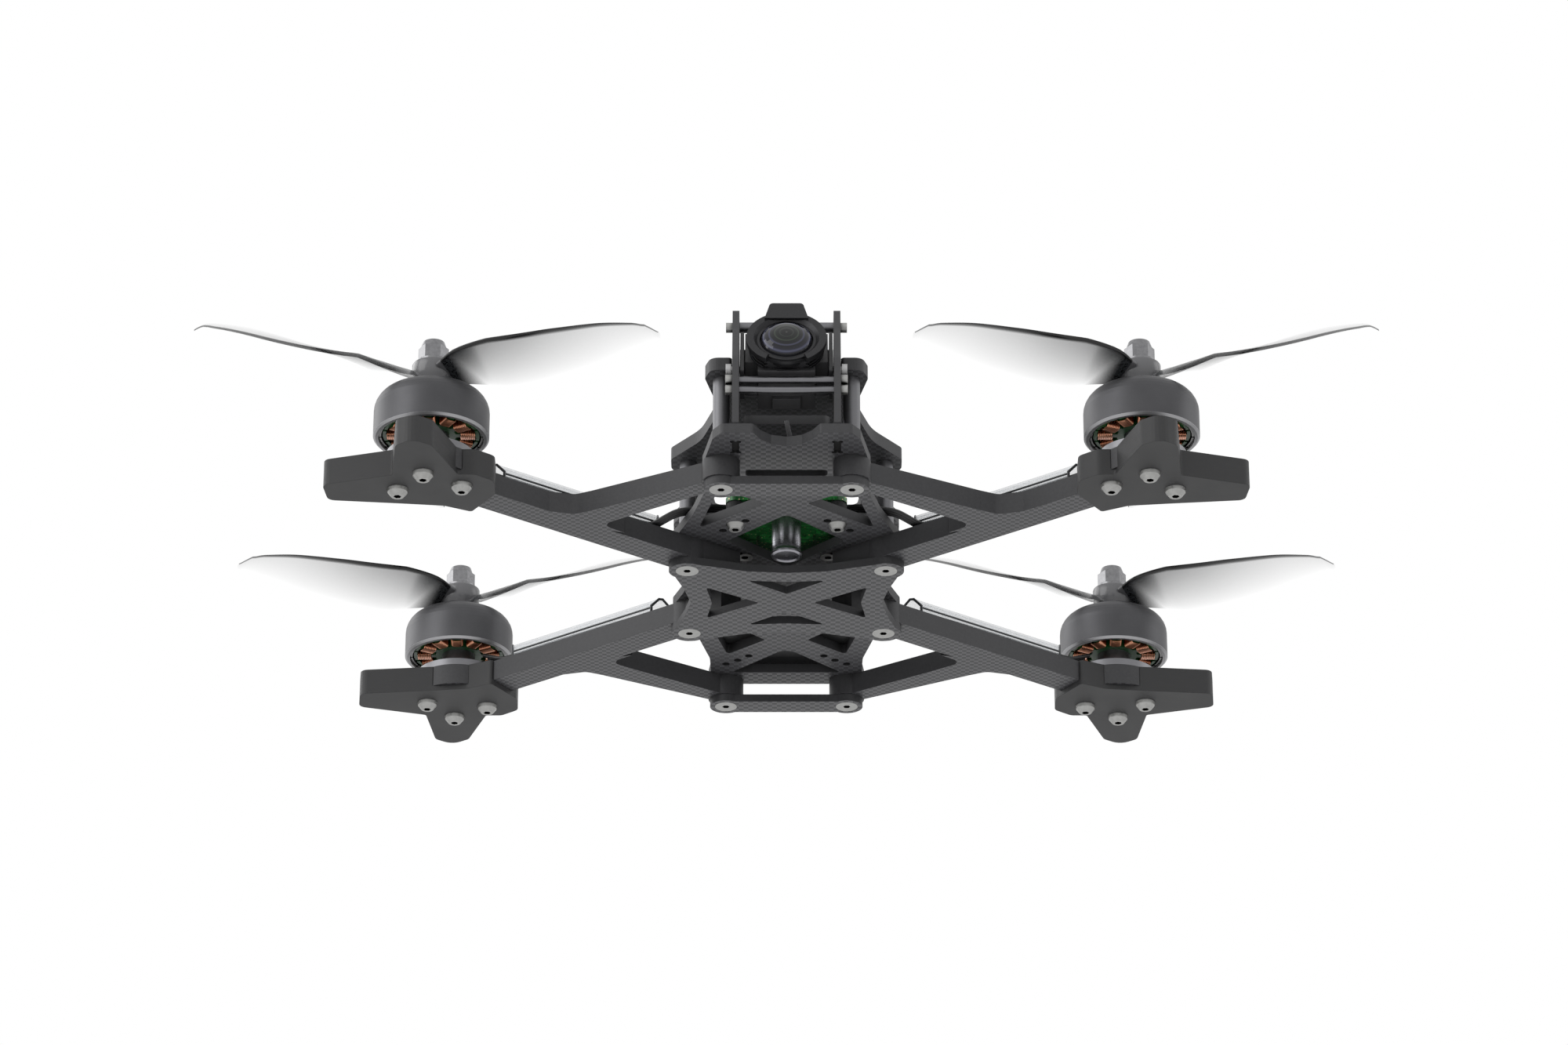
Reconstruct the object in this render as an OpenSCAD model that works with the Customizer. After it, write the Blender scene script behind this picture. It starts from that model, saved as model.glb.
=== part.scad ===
// Six-inch camera quadcopter: carbon airframe, four outrunner motors, tilting camera.
// Millimetres, +Z up. The nose points along -Y. Z = 0 is the underside of the clamp plate.

/* [Airframe] */
// Side-to-side distance between motor axes
motor_span_x = 208; // [206:1:212]
// Front-to-back distance between motor axes
motor_span_y = 156; // [155:1:158]
// Thickness of the lower clamp plate and brace plates
low_t = 2.5; // [2:0.5:3]
// Thickness of the carbon arms
arm_t = 6.5; // [6:0.5:7]
// Width of the main beam of an arm
arm_w = 10; // [9:0.5:11]
// Thickness of the middle plate
mid_t = 3; // [2.5:0.5:3.5]
// Length of the standoffs between the middle and top plates
post_h = 24; // [24:0.5:28]
// Thickness of the top plate
top_t = 4; // [3:0.5:4]

/* [Motors and propellers] */
// Outer radius of the motor bells
bell_r = 17; // [16.5:0.1:17.4]
// Tip radius of the propellers
prop_r = 76.2; // [63.5:0.1:77]
// Forward travel of the propeller in one turn
prop_pitch = 130; // [100:5:135]

/* [Camera] */
// Upward tilt of the camera at rest
camera_tilt = 24; // [20:1:28]
// Thickness of the cage side plates
cage_t = 2; // [1.5:0.1:2]

/* [Hidden] */
$fn = 32;

// Levels of the stack of plates.
z_arm = low_t;
z_mid = z_arm + arm_t;
z_deck = z_mid + mid_t;
z_top = z_deck + post_h;
z_roof = z_top + top_t;

// The plates, arms and standoffs share these eight screw axes (one quarter given).
post_end = [19.1, 78];
post_side = [29.8, 22.5];
post_axes = [post_end, post_side];
post_r = 2.5;
m3_r = 1.5;
m3_hole_r = 1.6;
sink_r = 3.45;
sink_h = 1.9;
button_r = 2.85;
button_h = 1.65;

// Arms run from the motors to the side standoffs.
motor = [motor_span_x / 2, motor_span_y / 2];
arm_run = post_side - motor;
arm_u = arm_run / norm(arm_run);
arm_angle = atan2(arm_u.y, arm_u.x);
arm_end = [17, 12.75];
pad_r = 13;
corners = [[-1, -1], [1, -1], [-1, 1], [1, 1]];

// Motor screws on a 19 mm circle, at 45 degrees to the arm. The inboard one is under the foot.
motor_pcd_r = 9.5;
foot_z0 = 0.8;
screw_head_h = 2.3;
screw_head_r = 3.2;

// Motor levels.
base_t = 2.1;
z_base = z_mid + base_t;
z_rim = z_mid + 7.4;
z_coil0 = z_mid + 7.6;
z_coil1 = z_mid + 17;
z_shell = z_mid + 22.4;
z_boss = z_mid + 24.1;
z_blade = z_mid + 27.5;
z_hub1 = z_mid + 31.6;
z_tip = z_mid + 39.4;
shaft_r = 2.5;
slots = 12;
magnet_count = 14;

// Camera pivot and cage.
cage_x = 13.8;
pivot = [-86.5, 35];
lens_l = 14.3;
tube_low = [-95, 24.1];
tube_high = [-95, 27.3];
tube_back = [-83, 50.7];

// Electronics stack.
stack_y = -20.5;
stack_half = 15.25;
z_esc = z_deck + 4;
z_fc = z_deck + 11;
board_x = 15.6;
board_y = 18;
board_t = 1.6;

// ---- helpers ----

function unit(v) = v / norm(v);

// Arc that rounds corner p between neighbours a and b with radius p[2].
function rounded_corner(a, p, b) =
  let (
    c = [p.x, p.y],
    u = unit([a.x, a.y] - c),
    v = unit([b.x, b.y] - c),
    half = acos(u * v) / 2,
    centre = c + unit(u + v) * p[2] / sin(half),
    from = c + u * p[2] / tan(half) - centre,
    to = c + v * p[2] / tan(half) - centre,
    a0 = atan2(from.y, from.x),
    turn = (atan2(to.y, to.x) - a0 + 540) % 360 - 180
  )
  [for (i = [0:5]) centre + p[2] * [cos(a0 + turn * i / 5), sin(a0 + turn * i / 5)]];

// Outline from points [x, y, corner radius]; a radius of 0 keeps the corner sharp.
function rounded(pts) =
  let (n = len(pts))
  [for (i = [0:n - 1])
    each (pts[i][2] > 0
      ? rounded_corner(pts[(i + n - 1) % n], pts[i], pts[(i + 1) % n])
      : [[pts[i].x, pts[i].y]])];

// Full outline from its right half, listed front to back.
function both_sides(pts) =
  concat(pts, [for (i = [len(pts) - 1:-1:0]) if (pts[i].x > 0.01) [-pts[i].x, pts[i].y, pts[i][2]]]);

module plate(pts, z, t) {
  translate([0, 0, z])
    linear_extrude(t)
      polygon(rounded(pts));
}

// Children moved from the back left quarter to the quarter sx, sy.
module quarter(q) {
  mirror([q.x < 0 ? 1 : 0, 0, 0])
    mirror([0, q.y < 0 ? 1 : 0, 0])
      children();
}

module each_quarter() {
  for (q = corners)
    quarter(q)
      children();
}

module at_motor(q) {
  translate([q.x * motor.x, q.y * motor.y, 0])
    children();
}

module bar_x(x0, x1, yz, r) {
  translate([x0, yz.x, yz.y])
    rotate([0, 90, 0])
      cylinder(h = x1 - x0, r = r);
}

module post_holes(z, t, axes = post_axes) {
  each_quarter()
    for (p = axes)
      translate([p.x, p.y, z - 1])
        cylinder(h = t + 2, r = m3_hole_r);
}

// Countersinks on the underside of a plate at z.
module sinks(z, axes) {
  each_quarter()
    for (p = axes)
      translate([p.x, p.y, z])
        cylinder(h = sink_h, r1 = sink_r + 0.05, r2 = m3_hole_r);
}

// Tube of radius r with 8 sides swept along points; its sides lie along the axis given.
function ring(p, dir, side, r) =
  let (s = unit(side - (side * dir) * dir), u = cross(dir, s))
  [for (k = [0:7]) p + r * (cos(45 * k + 22.5) * s + sin(45 * k + 22.5) * u)];

module sweep_tube(path, r, side) {
  n = len(path);
  dirs = [for (i = [0:n - 1]) unit(path[min(i + 1, n - 1)] - path[max(i - 1, 0)])];
  pts = [for (i = [0:n - 1]) each ring(path[i], dirs[i], side, r)];
  faces = concat(
    [[for (k = [0:7]) k]],
    [for (i = [0:n - 2], k = [0:7]) [i * 8 + k, (i + 1) * 8 + k, i * 8 + (k + 1) % 8]],
    [for (i = [0:n - 2], k = [0:7]) [(i + 1) * 8 + k, (i + 1) * 8 + (k + 1) % 8, i * 8 + (k + 1) % 8]],
    [[for (k = [7:-1:0]) (n - 1) * 8 + k]]
  );
  polyhedron(pts, faces, convexity = 6);
}

// ---- airframe ----

clamp_half = [
  [0, -21.3, 0], [12, -22.4, 0], [24, -26.2, 1], [29.8, -28, 0],
  [35.1, -24, 3], [31, -10, 8], [29, 0, 0], [31, 10, 8],
  [35.1, 24, 3], [29.8, 28, 0], [24, 26.2, 1], [12, 22.4, 0], [0, 21.3, 0]
];

module clamp_plate() {
  color([0.2, 0.2, 0.21])
  difference() {
    union() {
      plate(both_sides(clamp_half), 0, low_t);
      each_quarter()
        translate([post_side.x, post_side.y, 0])
          cylinder(h = low_t, r = 5.5);
    }
    for (s = [-1, 1]) {
      plate([[s * 8.3, 0, 0.5], [s * 24.3, -11, 0.5], [s * 22.6, 0, 8], [s * 24.3, 11, 0.5]], -1, low_t + 2);
      plate([[-11.8, s * 15.8, 0.4], [0, s * 14.9, 16], [11.8, s * 15.8, 0.4], [0, s * 6.4, s < 0 ? 0.5 : 3]],
        -1, low_t + 2);
    }
    post_holes(0, low_t, [post_side]);
    sinks(0, [post_side]);
  }
}

module brace_plate(s) {
  color([0.2, 0.2, 0.21])
  difference() {
    union() {
      translate([-post_end.x, s * post_end.y - 4.1, 0])
        cube([2 * post_end.x, 8.2, low_t]);
      for (x = [-1, 1])
        translate([x * post_end.x, s * post_end.y, 0])
          cylinder(h = low_t, r = 5);
    }
    for (x = [-1, 1])
      translate([x * post_end.x, s * post_end.y, -1])
        cylinder(h = low_t + 2, r = m3_hole_r);
    for (x = [-1, 1])
      translate([x * post_end.x, s * post_end.y, 0])
        cylinder(h = sink_h, r1 = sink_r + 0.05, r2 = m3_hole_r);
  }
}

module front_brace_plate() brace_plate(-1);
module rear_brace_plate() brace_plate(1);

// Main beam from the motor to the clamp plate, in the back left quarter. Grown by g all round.
module beam_shape(g) {
  translate(motor)
    rotate(arm_angle)
      translate([0, -arm_w / 2 - g])
        square([norm(arm_end - motor), arm_w + 2 * g]);
}

// Brace from the beam to the end standoff.
brace = [
  [70, 58.75, 0], [62.6, 56.6, 4], [57.2, 59.3, 0], [24.7, 77.6, 0], [19.1, 78, 0], [20.3, 73.2, 0],
  [31.5, 65.6, 0], [45.1, 56.4, 0], [54.8, 49.4, 2.5], [48, 44, 0], [60, 48, 0]
];

module arm(q) {
  color([0.24, 0.24, 0.25])
  quarter(q)
  difference() {
    translate([0, 0, z_arm])
      linear_extrude(arm_t)
        union() {
          beam_shape(0);
          polygon(rounded(brace));
          translate(motor)
            circle(r = pad_r, $fn = 64);
          for (p = post_axes)
            translate(p)
              circle(r = 5.5);
        }
    for (p = post_axes)
      translate([p.x, p.y, z_arm - 1])
        cylinder(h = arm_t + 2, r = m3_hole_r);
    translate([motor.x, motor.y, z_arm - 1])
      cylinder(h = arm_t + 2, r = 3.5);
    for (a = [45:90:315])
      translate([motor.x, motor.y, z_arm - 1])
        rotate(arm_angle + a)
          translate([motor_pcd_r, 0, 0])
            cylinder(h = arm_t + 2, r = m3_hole_r);
  }
}

module arm_front_right() arm([-1, -1]);
module arm_front_left() arm([1, -1]);
module arm_rear_right() arm([-1, 1]);
module arm_rear_left() arm([1, 1]);

mid_half = [
  [0, -88.7, 0], [4.5, -90, 0], [7.5, -93, 0], [9.7, -97.3, 1], [18.8, -97.3, 1.5], [21.5, -93, 0],
  [23.6, -81.3, 2], [24.6, -76, 3], [23.2, -62, 12], [28, -42, 0], [32.5, -29.5, 4], [35.2, -22.5, 4],
  [31.5, -12, 6], [29.6, 0, 0], [31.5, 12, 6], [35.2, 22.5, 4], [32.5, 29.5, 4], [28, 42, 0],
  [24, 60.7, 12], [23.8, 70, 4], [24.8, 78, 4], [20, 83.2, 3], [14, 80.4, 3], [0, 80.4, 0]
];

module mid_plate() {
  color([0.22, 0.22, 0.23])
  difference() {
    plate(both_sides(mid_half), z_mid, mid_t);
    plate([[17.8, -24.7, 2], [0, -43, 2], [-17.8, -24.7, 2], [0, -6.2, 2]], z_mid - 1, mid_t + 2);
    for (s = [-1, 1]) {
      plate([[s * 6.2, -50.6, 0.6], [s * 26.2, -33.9, 0.6], [s * 20, -60, 1]], z_mid - 1, mid_t + 2);
      plate([[s * 22.4, 41, 0.8], [s * 12, 41, 2], [s * 6.6, 46.8, 0.6], [s * 18.5, 57.6, 1]],
        z_mid - 1, mid_t + 2);
      translate([s * (cage_x + cage_t / 2) - cage_t / 2 - 0.05, -91.5, z_mid - 1])
        cube([cage_t + 0.1, 7.2, mid_t + 2]);
      translate([s * (cage_x + cage_t / 2) - cage_t / 2 - 0.05, -72.1, z_mid - 1])
        cube([cage_t + 0.1, 5.2, mid_t + 2]);
      for (y = [-91.3, -84.5], x = [-0.9, 0.9])
        translate([s * (cage_x + cage_t / 2) + x, y, z_mid - 1])
          cylinder(h = mid_t + 2, r = 0.75, $fn = 16);
      for (p = [[12.2, -38.6], [19, -31.9], [15.3, 62.2], [11.8, 58.9], [19, 65.1]])
        translate([s * p.x, p.y, z_mid - 1])
          cylinder(h = mid_t + 2, r = 1.2, $fn = 24);
      translate([s * 12.6, -14, z_mid - 1])
        cylinder(h = mid_t + 2, r = 1.9);
      for (y = [stack_y, -stack_y], d = [-1, 1])
        translate([s * stack_half, y + d * stack_half, z_mid - 1])
          cylinder(h = mid_t + 2, r = m3_hole_r);
    }
    plate([[-12, -73, 1], [12, -73, 1], [12, -69, 1], [-12, -69, 1]], z_mid - 1, mid_t + 2);
    plate([[-17.4, 71.5, 0.6], [17.4, 71.5, 0.6], [0, 53.2, 4]], z_mid - 1, mid_t + 2);
    post_holes(z_mid, mid_t);
  }
}

top_half = [
  [0, -67, 0], [cage_x + cage_t + 0.2, -67, 1], [cage_x + cage_t + 0.2, -84.6, 1], [22.2, -84.6, 3],
  [24, -79, 3], [21.6, -67, 8], [21.6, -52, 16], [25.6, -38, 20], [34.9, -25.4, 3], [34.9, -19.5, 4],
  [30.5, -10, 6], [28, 0, 0], [30.5, 10, 6], [34.9, 19.5, 4], [34.9, 25.4, 3], [25.6, 38, 20],
  [21.6, 52, 16], [21.6, 67, 8], [23.6, 76, 4], [23.6, 82.4, 4], [14.5, 82.4, 3], [11, 79, 3], [0, 79, 0]
];

module top_plate() {
  color([0.22, 0.22, 0.23])
  difference() {
    plate(both_sides(top_half), z_top, top_t);
    post_holes(z_top, top_t);
    for (s = [-1, 1]) {
      plate([[s * 14.6, -14, 2], [s * 21.8, -14, 2], [s * 23.4, 0, 4], [s * 21.8, 14, 2], [s * 14.6, 14, 2]],
        z_top - 1, top_t + 2);
      plate([[s * 13, s * 55, 2], [s * 13, s * 49, 2], [s * -13, s * 49, 2], [s * -13, s * 55, 2]],
        z_top - 1, top_t + 2);
    }
  }
}

module battery_pad() {
  color([0.1, 0.1, 0.1])
  plate([[-13, -44, 3], [13, -44, 3], [13, 44, 3], [-13, 44, 3]], z_roof, 1.5);
}

module standoffs() {
  color([0.62, 0.63, 0.65])
  each_quarter()
    for (p = post_axes)
      translate([p.x, p.y, z_deck])
        difference() {
          cylinder(h = post_h, r = post_r);
          translate([0, 0, -1])
            cylinder(h = post_h + 2, r = m3_r + 0.02);
        }
}

module lower_screws() {
  color([0.75, 0.75, 0.76])
  each_quarter()
    for (p = post_axes)
      translate([p.x, p.y, 0])
        difference() {
          union() {
            cylinder(h = sink_h, r1 = sink_r, r2 = m3_r);
            cylinder(h = z_deck + 6, r = m3_r);
          }
          translate([0, 0, -1])
            cylinder(h = 2.4, r = 1.15, $fn = 6);
        }
}

module upper_screws() {
  color([0.75, 0.75, 0.76])
  each_quarter()
    for (p = post_axes)
      translate([p.x, p.y, z_roof])
        difference() {
          union() {
            cylinder(h = button_h, r1 = button_r, r2 = 1.9);
            translate([0, 0, -top_t - 6])
              cylinder(h = top_t + 6, r = m3_r);
          }
          translate([0, 0, 0.5])
            cylinder(h = 2, r = 1.15, $fn = 6);
        }
}

// Black case of the video transmitter at the tail, finned on top.
module video_transmitter() {
  color([0.1, 0.1, 0.11])
  difference() {
    plate([[-20.5, 45, 2], [20.5, 45, 2], [20.5, 68, 2], [15, 74.8, 2], [-15, 74.8, 2], [-20.5, 68, 2]],
      z_deck, 12);
    for (i = [-4:4])
      translate([i * 4 - 1.1, 43, z_deck + 9.6])
        cube([2.2, 40, 5]);
  }
}

// ---- feet and motor screws ----

// Foot outline around the motor axis, in the back left quarter.
foot_pts = [
  [30.2, -8.4, 2.5], [8.9, -10.7, 6], [-3.6, -12.2, 4], [-11.4, -16.2, 1], [-19, -4.5, 3], [-19, 4.2, 3],
  [-13.6, 8.6, 3], [-8.6, 8.6, 1], [-2.2, 27.4, 3], [3.2, 31.4, 4], [8.4, 27.4, 3], [10.4, 8.2, 1],
  [31.2, 1.7, 2.5]
];

module foot(q) {
  color([0.3, 0.3, 0.31])
  quarter(q)
  difference() {
    translate([motor.x, motor.y, 0])
      plate(foot_pts, foot_z0, z_mid - foot_z0);
    translate([0, 0, z_arm])
      linear_extrude(arm_t + 1)
        union() {
          beam_shape(0.05);
          translate(motor)
            circle(r = pad_r + 0.05, $fn = 64);
        }
    for (a = [45, 135, 315])
      translate([motor.x, motor.y, 0])
        rotate(arm_angle + 180 - a + 90)
          translate([motor_pcd_r, 0, -1])
            cylinder(h = arm_t, r = m3_hole_r);
  }
}

module foot_front_right() foot([-1, -1]);
module foot_front_left() foot([1, -1]);
module foot_rear_right() foot([-1, 1]);
module foot_rear_left() foot([1, 1]);

module motor_screws() {
  color([0.75, 0.75, 0.76])
  each_quarter()
    for (a = [45, 135, 315])
      translate([motor.x, motor.y, foot_z0])
        rotate(arm_angle + 180 - a + 90)
          translate([motor_pcd_r, 0, 0])
            difference() {
              union() {
                translate([0, 0, -screw_head_h])
                  cylinder(h = 1.3, r1 = 1.9, r2 = 2.95);
                translate([0, 0, -1])
                  cylinder(h = 1, r1 = 2.95, r2 = screw_head_r);
                cylinder(h = z_base - foot_z0 - 0.2, r = m3_r);
              }
              translate([0, 0, -screw_head_h - 1])
                cylinder(h = 2.5, r = 1.15, $fn = 6);
            }
}

// ---- motors ----

module motor_base(q) {
  color([0.55, 0.56, 0.58])
  at_motor(q)
  difference() {
    union() {
      translate([0, 0, z_mid])
        cylinder(h = base_t, r = 13, $fn = 64);
      translate([0, 0, z_base])
        cylinder(h = 3, r1 = 8, r2 = 5.2, $fn = 48);
      translate([0, 0, z_base])
        cylinder(h = z_coil1 - z_base, r = 5.2, $fn = 48);
    }
    translate([0, 0, z_mid + 1])
      cylinder(h = 40, r = shaft_r + 0.05);
    quarter(q)
      for (a = [45:90:315])
        rotate(arm_angle + a)
          translate([motor_pcd_r, 0, z_mid - 1])
            cylinder(h = base_t + 4, r = m3_hole_r);
  }
}

module motor_base_front_right() motor_base([-1, -1]);
module motor_base_front_left() motor_base([1, -1]);
module motor_base_rear_right() motor_base([-1, 1]);
module motor_base_rear_left() motor_base([1, 1]);

// Stator: hub, twelve teeth and their shoes.
module stator(q) {
  color([0.15, 0.42, 0.2])
  at_motor(q)
  translate([0, 0, z_coil0 + 1])
    difference() {
      union() {
        cylinder(h = z_coil1 - z_coil0 - 2, r = 7.3, $fn = 48);
        for (i = [0:slots - 1])
          rotate(i * 360 / slots)
            translate([6, -1, 0])
              cube([7.4, 2, z_coil1 - z_coil0 - 2]);
        difference() {
          cylinder(h = z_coil1 - z_coil0 - 2, r = 14.2, $fn = 64);
          translate([0, 0, -1])
            cylinder(h = 20, r = 13.2, $fn = 64);
          for (i = [0:slots - 1])
            rotate((i + 0.5) * 360 / slots)
              translate([12, -0.5, -1])
                cube([4, 1, 20]);
        }
      }
      translate([0, 0, -1])
        cylinder(h = 20, r = 5.22, $fn = 48);
    }
}

module stator_front_right() stator([-1, -1]);
module stator_front_left() stator([1, -1]);
module stator_rear_right() stator([-1, 1]);
module stator_rear_left() stator([1, 1]);

// One copper coil round each tooth of each motor.
module windings() {
  color([0.72, 0.45, 0.28])
  for (q = corners)
    at_motor(q)
      for (i = [0:slots - 1])
        rotate(i * 360 / slots)
          difference() {
            translate([8.6, -2, z_coil0])
              cube([4.4, 4, z_coil1 - z_coil0]);
            translate([8, -1.04, z_coil0 + 0.96])
              cube([6, 2.08, z_coil1 - z_coil0 - 1.92]);
          }
}

shoulder = 6.6;
bell_out = concat(
  [[bell_r - 0.7, z_rim], [bell_r, z_rim + 0.7]],
  [for (i = [0:8]) [bell_r - shoulder + shoulder * cos(i * 11.25), z_shell - shoulder + shoulder * sin(i * 11.25)]],
  [[9.4, z_shell], [9, z_boss - 0.4], [8.6, z_boss]]
);
bell_in = [
  [shaft_r, z_boss], [shaft_r, z_coil1 + 0.8], [4.6, z_coil1 + 0.8], [4.6, z_shell - 2.4],
  [12, z_shell - 2.4], [15.4, z_shell - 5.5], [15.4, z_rim]
];

module bell(q) {
  color([0.5, 0.5, 0.52])
  at_motor(q)
  difference() {
    rotate_extrude($fn = 72)
      polygon(concat(bell_out, bell_in));
    for (i = [0:5])
      rotate(i * 60 + 15)
        translate([0, 0, z_shell - 6])
          linear_extrude(12)
            polygon(rounded([[9.9, -1.6, 0.8], [13.4, -3.4, 1], [13.4, 3.4, 1], [9.9, 1.6, 0.8]]));
  }
  color([0.7, 0.7, 0.72])
  at_motor(q)
    translate([0, 0, z_mid + 1.5])
      cylinder(h = z_tip - z_mid - 1.5, r = shaft_r);
}

module bell_front_right() bell([-1, -1]);
module bell_front_left() bell([1, -1]);
module bell_rear_right() bell([-1, 1]);
module bell_rear_left() bell([1, 1]);

module magnets(q) {
  color([0.4, 0.41, 0.43])
  at_motor(q)
  translate([0, 0, z_coil0 + 0.6])
    difference() {
      cylinder(h = z_coil1 - z_coil0 - 1, r = 15.38, $fn = 64);
      translate([0, 0, -1])
        cylinder(h = 20, r = 14.6, $fn = 64);
      for (i = [0:magnet_count - 1])
        rotate(i * 360 / magnet_count)
          translate([14, -0.3, -1])
            cube([3, 0.6, 20]);
    }
}

module magnets_front_right() magnets([-1, -1]);
module magnets_front_left() magnets([1, -1]);
module magnets_rear_right() magnets([-1, 1]);
module magnets_rear_left() magnets([1, 1]);

// ---- propellers ----

// Blade stations as shares of the tip radius, with chord, leading share of the chord and thickness.
stations = [0.06, 0.13, 0.21, 0.31, 0.43, 0.56, 0.68, 0.79, 0.88, 0.94, 0.98, 1];
function chord(f) =
  lookup(f, [[0.06, 8.6], [0.13, 12.4], [0.21, 14.4], [0.31, 16], [0.43, 16.6], [0.56, 16.2], [0.68, 14.8],
    [0.79, 12.2], [0.88, 9.4], [0.94, 7], [0.98, 4.2], [1, 1.6]]);
function lead(f) =
  lookup(f, [[0.06, 0.6], [0.13, 0.63], [0.21, 0.56], [0.31, 0.48], [0.43, 0.43], [0.56, 0.4], [0.79, 0.32], [0.94, 0.2], [1, -0.4]]);
function thick(f) = lookup(f, [[0.06, 2.4], [0.3, 1.7], [0.7, 1.1], [1, 0.6]]);
function twist(r) = min(atan(prop_pitch / (2 * PI * r)), 20 + r);
// Section points: share along the chord from the leading edge, and height on a unit thickness.
section = [[0, 0], [0.06, 0.4], [0.25, 0.72], [0.55, 0.66], [0.85, 0.3], [1, 0.05], [0.85, 0],
  [0.55, 0], [0.25, -0.1], [0.06, -0.25]];

function blade_ring(f) =
  let (r = f * prop_r, c = chord(f), b = twist(r))
  [for (s = section)
    let (x = c * (lead(f) - s.x), q = s.y * thick(f) - 0.3 * thick(f))
    [r, x * cos(b) - q * sin(b), x * sin(b) + q * cos(b)]];

module blade() {
  n = len(stations);
  m = len(section);
  faces = concat(
    [[for (k = [0:m - 1]) k]],
    [for (i = [0:n - 2], k = [0:m - 1]) [i * m + k, (i + 1) * m + k, i * m + (k + 1) % m]],
    [for (i = [0:n - 2], k = [0:m - 1])
      [(i + 1) * m + k, (i + 1) * m + (k + 1) % m, i * m + (k + 1) % m]],
    [[for (k = [m - 1:-1:0]) (n - 1) * m + k]]
  );
  polyhedron([for (f = stations) each blade_ring(f)], faces, convexity = 4);
}

// turn = 1 spins counter-clockwise seen from above, -1 clockwise.
module propeller(q) {
  color([0.7, 0.72, 0.74, 0.5])
  at_motor(q)
  mirror([q.x * q.y > 0 ? 1 : 0, 0, 0])
    difference() {
      union() {
        translate([0, 0, z_boss])
          cylinder(h = 3, r1 = 5, r2 = 6.2);
        translate([0, 0, z_boss + 3])
          cylinder(h = z_hub1 - z_boss - 3, r = 6.2);
        for (a = [-30, 90, 210])
          rotate(a)
            translate([0, 0, z_blade])
              blade();
      }
      translate([0, 0, z_boss - 1])
        cylinder(h = 20, r = shaft_r + 0.02);
    }
}

module propeller_front_right() propeller([-1, -1]);
module propeller_front_left() propeller([1, -1]);
module propeller_rear_right() propeller([-1, 1]);
module propeller_rear_left() propeller([1, 1]);

module prop_nut(q) {
  color([0.72, 0.73, 0.75])
  at_motor(q)
  translate([0, 0, z_hub1])
    difference() {
      union() {
        cylinder(h = 1.2, r = 4.8);
        translate([0, 0, 1.2])
          cylinder(h = 4.3, r = 4.5, $fn = 6);
        translate([0, 0, 5.5])
          cylinder(h = 2, r1 = 3.9, r2 = 3.2);
      }
      translate([0, 0, -1])
        cylinder(h = 12, r = shaft_r + 0.02);
    }
}

module prop_nut_front_right() prop_nut([-1, -1]);
module prop_nut_front_left() prop_nut([1, -1]);
module prop_nut_rear_right() prop_nut([-1, 1]);
module prop_nut_rear_left() prop_nut([1, 1]);

// ---- motor wires and their ducts ----

duct_from = 24;
duct_to = 80;
// Duct section: share across the arm (positive at the back for the back arms) and height.
duct_out = [[-2.6, 0], [4.2, 0], [0.3, 4.8], [-0.7, 4.8], [-2.6, 2.6]];
duct_in = [[-2.1, -1], [3.6, -1], [3.35, 0.3], [0.1, 4.3], [-0.5, 4.3], [-2.1, 2.4]];
module wire_ducts() {
  color([0.85, 0.86, 0.88, 0.6])
  for (q = corners)
    translate([q.x * motor.x, q.y * motor.y, z_mid])
      mirror([q.x < 0 ? 1 : 0, 0, 0])
        rotate(q.y * arm_angle)
          difference() {
            translate([duct_from - 8, 0, 0])
              rotate([90, 0, 90])
                linear_extrude(duct_to - duct_from + 16)
                  difference() {
                    polygon([for (p = duct_out) [-p.x, p.y]]);
                    polygon([for (p = duct_in) [-p.x, p.y]]);
                  }
            translate([duct_from, 2, -1])
              rotate(-40)
                translate([-20, -12, 0])
                  cube([20, 24, 9]);
            translate([duct_to, 2, -1])
              rotate(40)
                translate([0, -12, 0])
                  cube([20, 24, 9]);
            // The wires pass under the roof at both ends.
            translate([0, -12, -1])
              cube([duct_from - 1, 24, 3.2]);
            translate([duct_to - 3.8, -12, -1])
              cube([20, 24, 3.5]);
          }
}

wire_r = 0.65;
// Route of a wire in the back left quarter: s is its place across the duct, -1 to 1; side is 1 at the
// back and -1 at the front, because every duct leans the same way.
function wire_path(s, side) =
  let (v = [-arm_u.y, arm_u.x], z = z_mid + 0.95)
  [for (p = [
      [12.2, 2.4, 3.8], [15, 2.4, 2.6], [19, 1.8, 0.4], [22, 1.45, 0.05], [30, 1.45, 0], [77, 1.45, 0]
    ])
    let (xy = motor + arm_u * p.x - v * (s * p.y + 0.3 * side))
    [xy.x, xy.y, z + p[2]]];
function wire_end(s) = [
  [39.4, 33 + 1.5 * s, z_mid + 1.3], [36.6, 34.6 + 1.5 * s, z_mid + 2.4],
  [32.6, 35 + 1.5 * s, z_deck + 1.6], [27, 34.2 + 1.5 * s, z_deck + 2.6],
  [21, 31.6 + 1.5 * s, z_esc + 0.8], [18.4, 30 + 1.5 * s, z_esc + 0.8]
];

module motor_wires() {
  color([0.12, 0.12, 0.12])
  for (q = corners, s = [-1, 0, 1])
    quarter(q)
      sweep_tube(concat(wire_path(s, q.y), wire_end(s)), wire_r, [0, 0, 1]);
}

// ---- electronics ----

module board(z, t) {
  difference() {
    union() {
      translate([0, stack_y, 0])
        plate([[-board_x, -board_y, 1.5], [board_x, -board_y, 1.5], [board_x, board_y, 1.5],
          [-board_x, board_y, 1.5]], z, t);
      for (x = [-1, 1], y = [-1, 1])
        translate([x * stack_half, stack_y + y * stack_half, z])
          cylinder(h = t, r = 2.9);
    }
    for (x = [-1, 1], y = [-1, 1])
      translate([x * stack_half, stack_y + y * stack_half, z - 1])
        cylinder(h = t + 2, r = 1.7);
  }
}

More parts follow.
